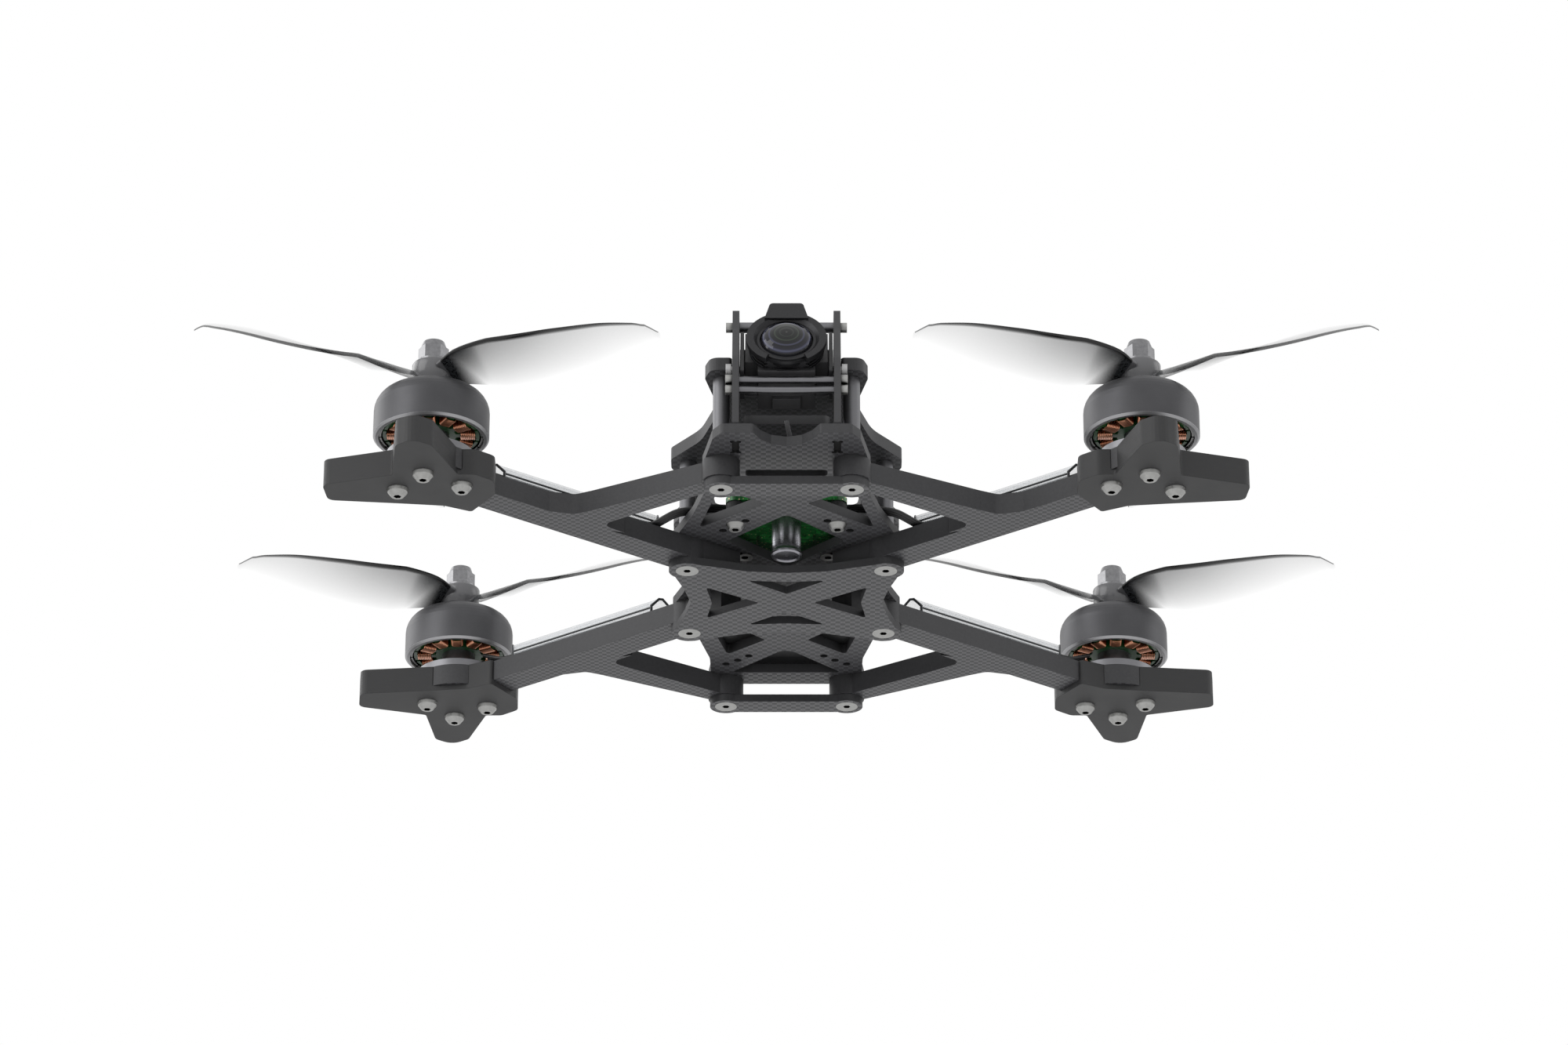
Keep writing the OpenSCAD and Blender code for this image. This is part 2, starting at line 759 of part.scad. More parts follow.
module chip(x, y, z, w, d, h) {
  translate([x - w / 2, stack_y + y - d / 2, z])
    cube([w, d, h]);
}

module esc_board() {
  color([0.1, 0.35, 0.2])
  union() {
    board(z_esc, board_t);
    for (x = [-1, 1], y = [-10, -5, 5, 10])
      chip(x * 11, y, z_esc - 1, 4, 4.2, 1.02);
    for (x = [-1, 1])
      chip(x * 6, 8, z_esc - 1.2, 4, 4, 1.22);
    for (x = [-1, 1], y = [-9, 0, 9])
      chip(x * 8, y, z_esc + board_t - 0.02, 5, 5, 1);
  }
}

module flight_controller() {
  color([0.08, 0.08, 0.1])
  union() {
    board(z_fc, board_t);
    chip(0, 2, z_fc + board_t - 0.02, 8, 8, 1);
    chip(9, -3, z_fc + board_t - 0.02, 3, 3, 0.9);
    chip(0, -16, z_fc + board_t - 0.02, 9, 4, 3);
    chip(-9, 6, z_fc - 1, 4, 4, 1.02);
    chip(4, 4, z_fc - 1, 6, 6, 1.02);
  }
}

// Stack screws with their nuts, and two press nuts for a second tray.
module stack_screws() {
  color([0.75, 0.75, 0.76])
  for (s = [-1, 1])
    translate([s * 12.6, -14, z_mid - 0.5])
      difference() {
        union() {
          cylinder(h = 0.5, r = 2.4);
          cylinder(h = mid_t + 0.5, r = 1.88);
        }
        translate([0, 0, -1])
          cylinder(h = mid_t + 3, r = 1.1);
      }
  color([0.75, 0.75, 0.76])
  for (x = [-1, 1], y = [-1, 1])
    translate([x * stack_half, stack_y + y * stack_half, z_mid])
      difference() {
        union() {
          translate([0, 0, -button_h])
            cylinder(h = button_h, r1 = 1.9, r2 = button_r);
          cylinder(h = z_fc + board_t + 3 - z_mid, r = m3_r);
          translate([0, 0, z_fc + board_t - z_mid])
            cylinder(h = 2.4, r = 3.1, $fn = 6);
        }
        translate([0, 0, -button_h - 1])
          cylinder(h = 2, r = 1.15, $fn = 6);
      }
}

// Soft spacers that hold the boards apart.
module stack_spacers() {
  color([0.15, 0.15, 0.16])
  for (x = [-1, 1], y = [-1, 1])
    translate([x * stack_half, stack_y + y * stack_half, 0]) {
      difference() {
        translate([0, 0, z_deck])
          cylinder(h = z_esc - z_deck, r = 2.6);
        translate([0, 0, z_deck - 1])
          cylinder(h = 10, r = 1.55);
      }
      difference() {
        translate([0, 0, z_esc + board_t])
          cylinder(h = z_fc - z_esc - board_t, r = 2.6);
        translate([0, 0, z_esc])
          cylinder(h = 12, r = 1.55);
      }
    }
}

module capacitor() {
  color([0.65, 0.66, 0.68])
  translate([0, -25, 0])
    difference() {
      translate([0, 0, 3.6])
        rotate_extrude()
          polygon([[0, 0.5], [3.6, 0.5], [3.9, 0], [4.6, 0.3], [4.7, 0.9], [4.3, 1.8], [4.35, 2.6],
            [4.35, z_esc - 3.6], [0, z_esc - 3.6]]);
      translate([0, 0, 3])
        cylinder(h = 1.5, r = 0.5);
    }
}

// ---- camera cage ----

cage_pts = [
  [-97, z_deck, 1], [-98.4, 20, 3], [-98.4, 33, 6], [-93, 45, 6], [-90.5, 52.8, 1.5], [-79.5, 52.8, 3],
  [-73, z_top + 4, 6], [-68, z_top - 0.4, 2], [-61, z_top - 0.4, 3],
  [-63, 24, 8], [-61, z_deck, 1]
];

// The cage plate lies in the YZ plane; the inner face is at cage_x.
module cage_plate(s) {
  color([0.22, 0.22, 0.23])
  difference() {
    translate([s > 0 ? cage_x : -cage_x - cage_t, 0, 0])
      rotate([90, 0, 90])
        linear_extrude(cage_t)
          difference() {
            union() {
              polygon(rounded(cage_pts));
              translate([-91.4, z_mid + 0.7])
                square([7, mid_t]);
              translate([-72, z_mid + 0.7])
                square([5, mid_t]);
            }
            polygon(rounded([[-80, 18, 2], [-69, 17, 2], [-67.5, 31, 3], [-75, 31, 3]]));
          }
    for (p = [tube_low, tube_high, tube_back])
      bar_x(-20, 20, p, 0.85);
    bar_x(-20, 20, pivot, 1.08);
  }
}

module cage_plate_right() cage_plate(-1);
module cage_plate_left() cage_plate(1);

module cage_tubes() {
  color([0.7, 0.71, 0.73])
  union() {
    bar_x(-cage_x, cage_x, tube_low, 1.05);
    bar_x(-cage_x, cage_x, tube_high, 1.05);
    bar_x(-cage_x, cage_x, tube_back, 1.6);
  }
}

module cage_screws() {
  color([0.75, 0.75, 0.76])
  for (s = [-1, 1])
    mirror([s < 0 ? 1 : 0, 0, 0]) {
      for (p = [tube_low, tube_high, tube_back])
        union() {
          bar_x(cage_x, cage_x + cage_t, p, 0.8);
          bar_x(cage_x + cage_t, cage_x + cage_t + 2, p, 1.5);
        }
    }
}

// ---- camera ----

// Children drawn along the lens axis (here +X forward, +Y up) turned to the camera's tilt.
module on_camera() {
  translate([0, pivot.x, pivot.y])
    rotate([-camera_tilt, 0, 0])
      children();
}

module lens_part(l0, l1, r0, r1) {
  translate([0, -l0, 0])
    rotate([90, 0, 0])
      cylinder(h = l1 - l0, r1 = r0, r2 = r1, $fn = 64);
}

module camera_body() {
  color([0.3, 0.3, 0.31])
  on_camera()
  difference() {
    union() {
      translate([-8.35, -6.3, -8.35])
        cube([16.7, 14.3, 16.7]);
      translate([-12.1, -5.6, -3.4])
        cube([24.2, 12.6, 13.2]);
      translate([-4.1, 3, -9.9])
        cube([8.2, 4, 1.6]);
    }
    for (s = [-1, 1])
      bar_x(s * 12.4 - 2, s * 12.4 + 2, [0, 0], 1.1);
  }
}

// Side plates of the camera with their pivot pins.
module camera_bracket() {
  color([0.4, 0.41, 0.42])
  on_camera()
  for (s = [-1, 1]) {
    difference() {
      translate([s * 12.95 - 0.55, 0, 0])
        rotate([90, 0, 90])
          linear_extrude(1.1)
            polygon(rounded([[-7, -8.2, 1], [5, -8.2, 2], [8, -2, 2], [8, 7, 2], [4, 9.4, 2], [-7, 9.4, 1]]));
      bar_x(s * 12.95 - 3, s * 12.95 + 3, [0, 0], 1.0);
    }
    bar_x(s * 14.15 - 2.65, s * 14.15 + 2.65, [0, 0], 0.98);
    bar_x(s * 17 - 0.8, s * 17 + 0.8, [0, 0], 1.7);
  }
}

module lens_barrel() {
  color([0.14, 0.14, 0.15])
  on_camera()
  union() {
    difference() {
      union() {
        lens_part(6.3, 7.4, 8.2, 9.4);
        lens_part(7.4, 8, 11, 11);
        lens_part(7.95, 8.7, 9.6, 9.6);
        lens_part(8.65, 9.2, 11, 11);
        lens_part(9.15, 10.7, 9.6, 9.6);
      }
      lens_part(10, 20, 7.8, 7.8);
      translate([0, -7.2, 0])
        rotate([90, 0, 0])
          linear_extrude(2.4)
            polygon([[-6.5, -7.8], [6.5, -7.8], [8.4, -13], [-8.4, -13]]);
    }
    difference() {
      union() {
        lens_part(10.6, lens_l - 2, 11.7, 11.7);
        translate([0, -10.6, 0])
          rotate([90, 0, 0])
            linear_extrude(2.4)
              polygon(rounded([[-6.4, 8, 0], [6.4, 8, 0], [4.8, 15, 1.2], [-4.8, 15, 1.2]]));
      }
      lens_part(10.5, 12.4, 7.9, 9.7);
      translate([0, -10, 0])
        rotate([90, 0, 0])
          linear_extrude(4)
            polygon([[-5, -7], [5, -7], [7.4, -14], [-7.4, -14]]);
    }
    // Smooth throat under the lens, seen through the gap of the ring.
    difference() {
      lens_part(8, 11.2, 8.6, 9.3);
      lens_part(7, 20, 7.8, 7.8);
    }
  }
}

// Front element: a dome.
lens_dome = concat([for (i = [0:8]) [7.5 * sin(i * 11.25), 1 + 3.2 * cos(i * 11.25)]], [[7.5, 0], [0, 0]]);
module lens_glass() {
  color([0.3, 0.33, 0.4])
  on_camera()
  translate([0, -10, 0])
    rotate([90, 0, 0])
      rotate_extrude($fn = 48)
        polygon(lens_dome);
}

// Thin lead from under the camera back to the flight controller.
cable_pts = [
  [0, -80.2, 21.6], [0.4, -79.2, 19.4], [1.2, -76.8, 17.4], [1.8, -72, 16.6], [1.4, -64, 17],
  [0.6, -56, 18.6], [0.2, -50, 21], [0, -46, 23.4], [0, -43, 25.2], [0, -40.7, 26]
];
module camera_cable() {
  color([0.5, 0.5, 0.5])
  sweep_tube(cable_pts, 0.7, [1, 0, 0]);
}

clamp_plate();
front_brace_plate();
rear_brace_plate();
arm_front_right();
arm_front_left();
arm_rear_right();
arm_rear_left();
mid_plate();
top_plate();
battery_pad();
standoffs();
lower_screws();
upper_screws();
video_transmitter();
foot_front_right();
foot_front_left();
foot_rear_right();
foot_rear_left();
motor_screws();
motor_base_front_right();
motor_base_front_left();
motor_base_rear_right();
motor_base_rear_left();
stator_front_right();
stator_front_left();
stator_rear_right();
stator_rear_left();
windings();
bell_front_right();
bell_front_left();
bell_rear_right();
bell_rear_left();
magnets_front_right();
magnets_front_left();
magnets_rear_right();
magnets_rear_left();
propeller_front_right();
propeller_front_left();
propeller_rear_right();
propeller_rear_left();
prop_nut_front_right();
prop_nut_front_left();
prop_nut_rear_right();
prop_nut_rear_left();
wire_ducts();
motor_wires();
esc_board();
flight_controller();
stack_screws();
stack_spacers();
capacitor();
cage_plate_right();
cage_plate_left();
cage_tubes();
cage_screws();
camera_body();
camera_bracket();
lens_barrel();
lens_glass();
camera_cable();
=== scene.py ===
# %% [markdown]
# # A six-inch camera quadcopter, finished in Blender
#
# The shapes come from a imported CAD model: carbon plates and arms, four outrunner motors, a nose
# camera in a cage. This script gives every piece the surface its real material has, and rebuilds
# the few pieces whose look depends on fine curves: blades, copper coils, ducts, wires and leads.

# %% Load the model
import math

import bmesh
import bpy
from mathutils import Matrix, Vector


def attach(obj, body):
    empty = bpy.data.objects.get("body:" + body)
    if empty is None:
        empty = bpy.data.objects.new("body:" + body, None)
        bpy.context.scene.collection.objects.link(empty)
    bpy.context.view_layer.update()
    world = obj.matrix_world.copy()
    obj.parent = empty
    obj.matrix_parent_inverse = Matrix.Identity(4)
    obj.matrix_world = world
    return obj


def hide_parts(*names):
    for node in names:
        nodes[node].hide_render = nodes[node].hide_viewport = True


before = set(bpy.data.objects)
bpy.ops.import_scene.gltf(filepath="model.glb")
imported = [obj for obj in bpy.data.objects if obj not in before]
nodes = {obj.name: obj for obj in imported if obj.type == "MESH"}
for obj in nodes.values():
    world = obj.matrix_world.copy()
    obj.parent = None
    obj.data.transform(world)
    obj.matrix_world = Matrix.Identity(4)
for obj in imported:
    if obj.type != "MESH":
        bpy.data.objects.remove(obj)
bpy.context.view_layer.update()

scene = bpy.context.scene
print("CAD nodes:", len(nodes))

# %% [markdown]
# ## Camera
#
# A drone hanging in the air is looked at from below and in front. A long lens from a metre and a
# half away keeps the arms nearly parallel, so we place the camera low and pitch it up.

# %% Camera below the nose, looking up
camera_data = bpy.data.cameras.new("camera")
camera_data.sensor_width = 36.0
camera_data.lens = 130.2
camera_data.clip_end = 50.0
camera = bpy.data.objects.new("camera", camera_data)
camera.location = (-0.00073, -1.562, -0.726)
camera.rotation_euler = (math.radians(90 + 25.74), 0, 0)
scene.collection.objects.link(camera)
scene.camera = camera
print("camera at", tuple(camera.location))

# %% [markdown]
# ## Light and floor
#
# The object hangs in plain white. A white world lights it from everywhere, so edges facing us stay
# dark and undersides, seen at a low angle, turn paler by their own gloss. Two wide softboxes stand
# on the left, one in front and one behind, and round bells show them as a soft band. A weak one on
# the right lifts the far side. The pale floor lies well below the camera.

# %% White surroundings, three softboxes, one pale floor
scene.view_settings.view_transform = "Standard"
world = bpy.data.worlds.new("white_room")
scene.world = world
world.use_nodes = True
backdrop = world.node_tree.nodes["Background"]
backdrop.inputs["Color"].default_value = (1, 1, 1, 1)
backdrop.inputs["Strength"].default_value = 1.0
aim = Vector((0, 0, 0.02))


def softbox(name, place, size, watts):
    """A square area light at place, turned to the middle of the object."""
    data = bpy.data.lights.new(name, "AREA")
    data.size = size
    data.energy = watts
    lamp = bpy.data.objects.new(name, data)
    lamp.location = place
    lamp.rotation_euler = (aim - Vector(place)).to_track_quat("-Z", "Y").to_euler()
    scene.collection.objects.link(lamp)


softbox("key_front_left", (-1.3, -0.75, 0.7), 1.2, 10)
softbox("rim_back_left", (-1.3, 0.7, 0.6), 1.2, 8)
softbox("fill_right", (1.5, 0.2, 0.7), 0.8, 2)

floor_half, floor_z = 6, -1.2
floor_mesh = bpy.data.meshes.new("floor")
floor_mesh.from_pydata([(x * floor_half, y * floor_half, floor_z) for x, y in ((-1, -1), (1, -1), (1, 1), (-1, 1))],
                       [], [(0, 1, 2, 3)])
floor = bpy.data.objects.new("floor", floor_mesh)
scene.collection.objects.link(floor)

# %% [markdown]
# ## Tools for materials
#
# Colours are written as sRGB hex, as a paint chart gives them, and turned to linear light once.
# One function adds any node with its settings and links. Patterns are laid out in real
# millimetres: the CAD nodes' coordinates are metres, so one mapping multiplies them by 1000. A
# bevel node rounds the look of edges by the small radius that tumbling or moulding leaves.

# %% Colour and node tools
mm = 0.001
quarters = {"front_right": (-1, -1), "front_left": (1, -1), "rear_right": (-1, 1), "rear_left": (1, 1)}


def lin(hex_code):
    """sRGB hex to linear RGBA."""
    out = []
    for i in (0, 2, 4):
        c = int(hex_code[i:i + 2], 16) / 255
        out.append(c / 12.92 if c <= 0.04045 else ((c + 0.055) / 1.055) ** 2.4)
    return (*out, 1.0)


def connect(tree, node, inputs):
    """Sets or links sockets. inputs is a list, or maps names or numbers, to values, sockets or nodes."""
    for key, value in (enumerate(inputs) if isinstance(inputs, list) else inputs.items()):
        if isinstance(value, bpy.types.Node):
            value = next(o for o in value.outputs if o.enabled)
        if isinstance(value, bpy.types.NodeSocket):
            tree.links.new(value, node.inputs[key])
        else:
            node.inputs[key].default_value = value
    return node


def add(tree, kind, inputs=None, **settings):
    """Adds a shader node of this kind with its settings and its inputs."""
    node = tree.nodes.new("ShaderNode" + kind)
    for key, value in settings.items():
        setattr(node, key, value)
    return connect(tree, node, inputs or {})


print("node tools ready")

# %% A material to build on, and paint for CAD nodes
def material(name, roughness, metallic=0.0, edge=0.12):
    """Starts a material whose edges look rounded by edge mm. Gives its tree, shader, mm place and normal."""
    mat = bpy.data.materials.new(name)
    mat.use_nodes = True
    tree = mat.node_tree
    shader = connect(tree, tree.nodes["Principled BSDF"], {"Roughness": roughness, "Metallic": metallic})
    place = add(tree, "Mapping", {"Vector": add(tree, "TexCoord").outputs["Object"], "Scale": (1000, 1000, 1000)})
    normal = add(tree, "Bevel", {"Radius": edge * mm}, samples=4)
    connect(tree, shader, {"Normal": normal})
    return mat, tree, shader, place, normal


def grained(name, dark, light, roughness, metallic=0.0, edge=0.25, bumps=4.0, depth=0.01, detail=3.0):
    """A fine-grained finish: bumps per mm, depth of the grain in mm, colour drifting from dark to light."""
    mat, tree, shader, place, normal = material(name, roughness, metallic, edge)
    grain = add(tree, "TexNoise", {"Vector": place, "Scale": bumps, "Detail": detail})
    tone = add(tree, "Mix", {0: grain, 6: lin(dark), 7: lin(light)}, data_type="RGBA")
    relief = add(tree, "Bump", {"Height": grain, "Distance": depth * mm, "Normal": normal})
    connect(tree, shader, {"Base Color": tone, "Normal": relief})
    return mat, tree, shader, grain


def paint(mat, *names):
    """Gives CAD nodes this material."""
    for name in names:
        mesh = nodes[name].data
        mesh.materials.clear()
        mesh.materials.append(mat)


print("material tools ready")

# %% [markdown]
# ## Carbon plates and arms
#
# The plates are sheets of woven carbon fibre in epoxy, sand-blasted satin, cut on a router. On
# their flat faces the tows cross in a plain weave of 1.5 mm squares, a little finer on the thick
# arms. Cut edges show the plies edge on, matt and dark. A squared pattern worked out from the
# coordinates gives exact tows; a wave texture would only give stripes. Narrow gaps between plates
# collect shade, so a crevice mask darkens them.

# %% Woven carbon
ply = 0.25


def carbon(name, tow):
    """Plain-woven laminate with tows this many mm wide."""
    mat, tree, shader, place, normal = material(name, 0.5, edge=0.15)
    x, y, z = add(tree, "SeparateXYZ", [place]).outputs
    u, v = (add(tree, "Math", [axis, tow], operation="DIVIDE") for axis in (x, y))
    iu, iv = (add(tree, "Math", [a], operation="FLOOR") for a in (u, v))
    step = add(tree, "Math", [add(tree, "Math", [iu, iv], operation="ADD"), 2.0], operation="FLOORED_MODULO")
    warp_up = add(tree, "Math", [step, 0.5], operation="LESS_THAN")
    # Each tow is a flat arch across its width.
    arches = []
    for a in (u, v):
        turn = add(tree, "Math", [add(tree, "Math", [a], operation="FRACT"), math.pi], operation="MULTIPLY")
        arches.append(add(tree, "Math", [turn], operation="SINE"))
    arch = add(tree, "Mix", {0: warp_up, 2: arches[1], 3: arches[0]})
    up = add(tree, "SeparateXYZ", [add(tree, "NewGeometry").outputs["Normal"]]).outputs[2]
    flat = add(tree, "Math", [add(tree, "Math", [up], operation="ABSOLUTE"), 0.8], operation="GREATER_THAN")
    fibre = add(tree, "TexNoise", {"Vector": add(tree, "Mapping", {"Vector": place, "Scale": (1, 6, 6)}),
                                   "Scale": 3.0, "Detail": 2.0})
    # Painted reflection: squares with the warp tow on top are coloured lighter than squares with the weft on top, and
    # each tow's arch shifts its colour across its width as painted shading of its rounded face.
    face = add(tree, "Mix", {0: warp_up, 6: lin("262628"), 7: lin("4e4e51")}, data_type="RGBA")
    for share, pattern, tone in ((0.45, arch, "3c3c3f"), (0.5, fibre, "343436")):
        amount = add(tree, "Math", [pattern, share], operation="MULTIPLY")
        face = add(tree, "Mix", {0: amount, 6: face, 7: lin(tone)}, data_type="RGBA")
    layers = add(tree, "Math", [add(tree, "Math", [z, 2 * math.pi / ply], operation="MULTIPLY")], operation="SINE")
    dust = add(tree, "TexNoise", {"Vector": place, "Scale": 1.2, "Detail": 4.0})
    cut = add(tree, "Mix", {0: add(tree, "Math", [layers, 0.15, dust], operation="MULTIPLY_ADD"),
                            6: lin("28282a"), 7: lin("363638")}, data_type="RGBA")
    surface = add(tree, "Mix", {0: flat, 6: cut, 7: face}, data_type="RGBA")
    crevice_shade = add(tree, "AmbientOcclusion", {"Distance": 5 * mm}, samples=8).outputs["AO"]
    open_share = add(tree, "MapRange", [crevice_shade, 0.2, 0.75])
    shaded = add(tree, "Mix", {0: open_share, 6: lin("060606"), 7: surface}, data_type="RGBA")
    sheen = add(tree, "Math", [warp_up, -0.14, 0.52], operation="MULTIPLY_ADD")
    relief = add(tree, "Math", [arch, flat], operation="MULTIPLY")
    connect(tree, shader, {
        "Base Color": shaded,
        "Roughness": add(tree, "Mix", {0: flat, 2: 0.62, 3: sheen}),
        "Normal": add(tree, "Bump", {"Height": relief, "Distance": 0.035 * mm, "Normal": normal})})
    return mat


paint(carbon("satin_woven_carbon_plate", 1.5), "clamp_plate", "front_brace_plate", "rear_brace_plate", "mid_plate",
      "top_plate")
paint(carbon("satin_woven_carbon_arm", 1.3), *("arm_" + q for q in quarters))
print("carbon plates and arms done")

# %% [markdown]
# ## Cage plates
#
# They are the same laminate, but stand upright, so from most sides only a fine vertical streak of
# fibre shows. Their tabs end deep in the slots of the middle plate, where no light comes, so their
# colour is painted near black there as painted shade.

# %% Upright carbon
slot_top = 11.6
mat, tree, shader, place, normal = material("upright_carbon_cage", 0.5, edge=0.15)
streak = add(tree, "TexNoise", {"Vector": add(tree, "Mapping", {"Vector": place, "Scale": (1, 1, 5)}),
                                "Scale": 1.4, "Detail": 4.0})
upright = add(tree, "Mix", {0: streak, 6: lin("29292b"), 7: lin("3a3a3c")}, data_type="RGBA")
height = add(tree, "SeparateXYZ", [place]).outputs[2]
in_slot = add(tree, "Math", [height, slot_top], operation="LESS_THAN")
connect(tree, shader, {
    "Base Color": add(tree, "Mix", {0: in_slot, 6: upright, 7: lin("050505")}, data_type="RGBA"),
    "Roughness": add(tree, "Math", [in_slot, 0.45, 0.5], operation="MULTIPLY_ADD"),
    "Normal": add(tree, "Bump", {"Height": streak, "Distance": 0.02 * mm, "Normal": normal})})
paint(mat, "cage_plate_left", "cage_plate_right")
print("cage plates done")

# %% [markdown]
# ## Printed feet
#
# The motor feet are printed in soft TPU: layers 0.2 mm high run round them, with a faint drift of
# gloss from layer to layer. The layers are too fine to show from far away, but they break up the
# highlights as on a real print.

# %% Printed TPU
layer = 0.2
mat, tree, shader, place, normal = material("printed_tpu_dark_grey", 0.55, edge=0.3)
z = add(tree, "SeparateXYZ", [place]).outputs[2]
layers = add(tree, "Math", [add(tree, "Math", [z, 2 * math.pi / layer], operation="MULTIPLY")], operation="SINE")
drift = add(tree, "TexNoise", {"Vector": add(tree, "Mapping", {"Vector": place, "Scale": (0.3, 0.3, 8)}),
                               "Scale": 0.35, "Detail": 5.0})
connect(tree, shader, {
    "Base Color": add(tree, "Mix", {0: drift, 6: lin("1b1b1c"), 7: lin("2a2a2b")}, data_type="RGBA"),
    "Roughness": add(tree, "Math", [drift, 0.2, 0.45], operation="MULTIPLY_ADD"),
    "Normal": add(tree, "Bump", {"Height": layers, "Distance": 0.012 * mm, "Normal": normal})})
paint(mat, *("foot_" + q for q in quarters))
print("feet done")

# %% [markdown]
# ## Moulded rubber
#
# The spacers under the boards and the battery pad are moulded rubber with a fine grain. The pad is
# ribbed across, one rib every 2 mm, so that a pack can't slide.

# %% Rubber spacers and pad
mat, tree, shader, place, normal = material("moulded_black_rubber", 0.7)
y = add(tree, "SeparateXYZ", [place]).outputs[1]
ribs = add(tree, "Math", [add(tree, "Math", [y, math.pi], operation="MULTIPLY")], operation="SINE")
grain = add(tree, "TexNoise", {"Vector": place, "Scale": 6.0, "Detail": 3.0})
relief = add(tree, "Math", [grain, ribs], operation="ADD")
connect(tree, shader, {
    "Base Color": add(tree, "Mix", {0: grain, 6: lin("111112"), 7: lin("222223")}, data_type="RGBA"),
    "Normal": add(tree, "Bump", {"Height": relief, "Distance": 0.08 * mm, "Normal": normal})})
paint(mat, "stack_spacers", "battery_pad")
print("rubber done")

# %% [markdown]
# ## Screws, nuts and magnets
#
# The screws are zinc-plated steel: bright, slightly cloudy, with a hex socket. The socket is
# real geometry, and a crevice mask paints it black as painted shade. Lock nuts and magnets are
# nickel plated, which is smoother and a little darker.

# %% Plated steel
def plated(name, bright, dull, rough, reach):
    """Plated metal with painted shade: its colour turns black inside holes narrower than about reach mm."""
    mat, tree, shader, place, normal = material(name, rough, 1.0)
    cloud = add(tree, "TexNoise", {"Vector": place, "Scale": 0.9, "Detail": 4.0})
    plating = add(tree, "Mix", {0: cloud, 6: lin(dull), 7: lin(bright)}, data_type="RGBA")
    hole = add(tree, "AmbientOcclusion", {"Distance": reach * mm}, samples=8).outputs["AO"]
    open_share = add(tree, "MapRange", [hole, 0.42, 0.75])
    fine = add(tree, "TexNoise", {"Vector": place, "Scale": 4.0, "Detail": 3.0})
    connect(tree, shader, {
        "Base Color": add(tree, "Mix", {0: open_share, 6: lin("070707"), 7: plating}, data_type="RGBA"),
        "Roughness": add(tree, "Math", [cloud, 0.16, rough - 0.08], operation="MULTIPLY_ADD"),
        "Normal": add(tree, "Bump", {"Height": fine, "Distance": 0.01 * mm, "Normal": normal})})
    return mat


paint(plated("zinc_plated_steel", "b4b4b2", "929290", 0.38, 2.6), "lower_screws", "upper_screws", "stack_screws",
      "motor_screws", "cage_screws")
paint(plated("nickel_plated_lock_nut", "8e8e90", "666668", 0.3, 1.4), *("prop_nut_" + q for q in quarters))
paint(plated("nickel_plated_magnet", "8e8e8e", "6c6c6c", 0.3, 1.0), *("magnets_" + q for q in quarters))
print("plated steel done")

# %% [markdown]
# ## Turned metal
#
# Posts, tubes and motor bases are turned on a lathe, and the capacitor's can is drawn. Both leave
# fine grooves, which noise stretched along or round the part gives cheaply; exact rings would look
# the same at this size.

# %% Turned and drawn metal
def turned(name, hex_code, rough, stretch):
    """Turned metal; stretch squeezes the noise into grooves."""
    mat, tree, shader, place, normal = material(name, rough, 1.0, edge=0.1)
    groove = add(tree, "TexNoise", {"Vector": add(tree, "Mapping", {"Vector": place, "Scale": stretch}),
                                    "Scale": 2.0, "Detail": 2.0})
    connect(tree, shader, {
        "Base Color": add(tree, "Mix", {0: groove, 6: lin(hex_code), 7: lin("828284")}, data_type="RGBA"),
        "Roughness": add(tree, "Math", [groove, 0.2, rough - 0.1], operation="MULTIPLY_ADD"),
        "Normal": add(tree, "Bump", {"Height": groove, "Distance": 0.006 * mm, "Normal": normal})})
    return mat


paint(turned("turned_aluminium_post", "5c5c5f", 0.5, (0.05, 0.05, 8)), "standoffs")
paint(turned("turned_steel_tube", "6c6c70", 0.36, (8, 0.05, 0.05)), "cage_tubes")
paint(turned("machined_motor_base", "6c6c70", 0.4, (0.3, 0.3, 6)), *("motor_base_" + q for q in quarters))
paint(turned("drawn_aluminium_can", "a8a8b0", 0.3, (0.1, 0.1, 3)), "capacitor")
print("turned metal done")

# %% [markdown]
# ## Motor bells
#
# The bell is bead-blasted and anodised mid grey, which gives a soft wide highlight. Its lower rim
# is skimmed bright afterwards, and so are the boss and shaft on top, so height above the frame
# picks the finish.

# %% Anodised bell
rim_top, boss_base = 17.1, 33.3
mat, tree, shader, place, normal = material("anodised_satin_bell", 0.47, 1.0, edge=0.25)
z = add(tree, "SeparateXYZ", [place]).outputs[2]
rim = add(tree, "Math", [z, rim_top], operation="LESS_THAN")
tip = add(tree, "Math", [z, boss_base], operation="GREATER_THAN")
blast = add(tree, "TexNoise", {"Vector": place, "Scale": 5.0, "Detail": 2.0})
dye = add(tree, "TexNoise", {"Vector": place, "Scale": 0.12, "Detail": 3.0})
tone = add(tree, "Mix", {0: dye, 6: lin("4c4c4e"), 7: lin("5a5a5c")}, data_type="RGBA")
pits = add(tree, "Math", [blast, 0.25], operation="MULTIPLY")
tone = add(tree, "Mix", {0: pits, 6: tone, 7: lin("3c3c3e")}, data_type="RGBA")
skimmed = add(tree, "Math", [rim, tip], operation="MAXIMUM")
connect(tree, shader, {
    "Base Color": add(tree, "Mix", {0: skimmed, 6: tone, 7: lin("a4a4a6")}, data_type="RGBA"),
    "Normal": add(tree, "Bump", {"Height": blast, "Distance": 0.008 * mm, "Normal": normal})})
paint(mat, *("bell_" + q for q in quarters))
print("bells done")

# %% [markdown]
# ## Stators
#
# The laminations are dipped in green epoxy, thick and glossy with a little orange peel.

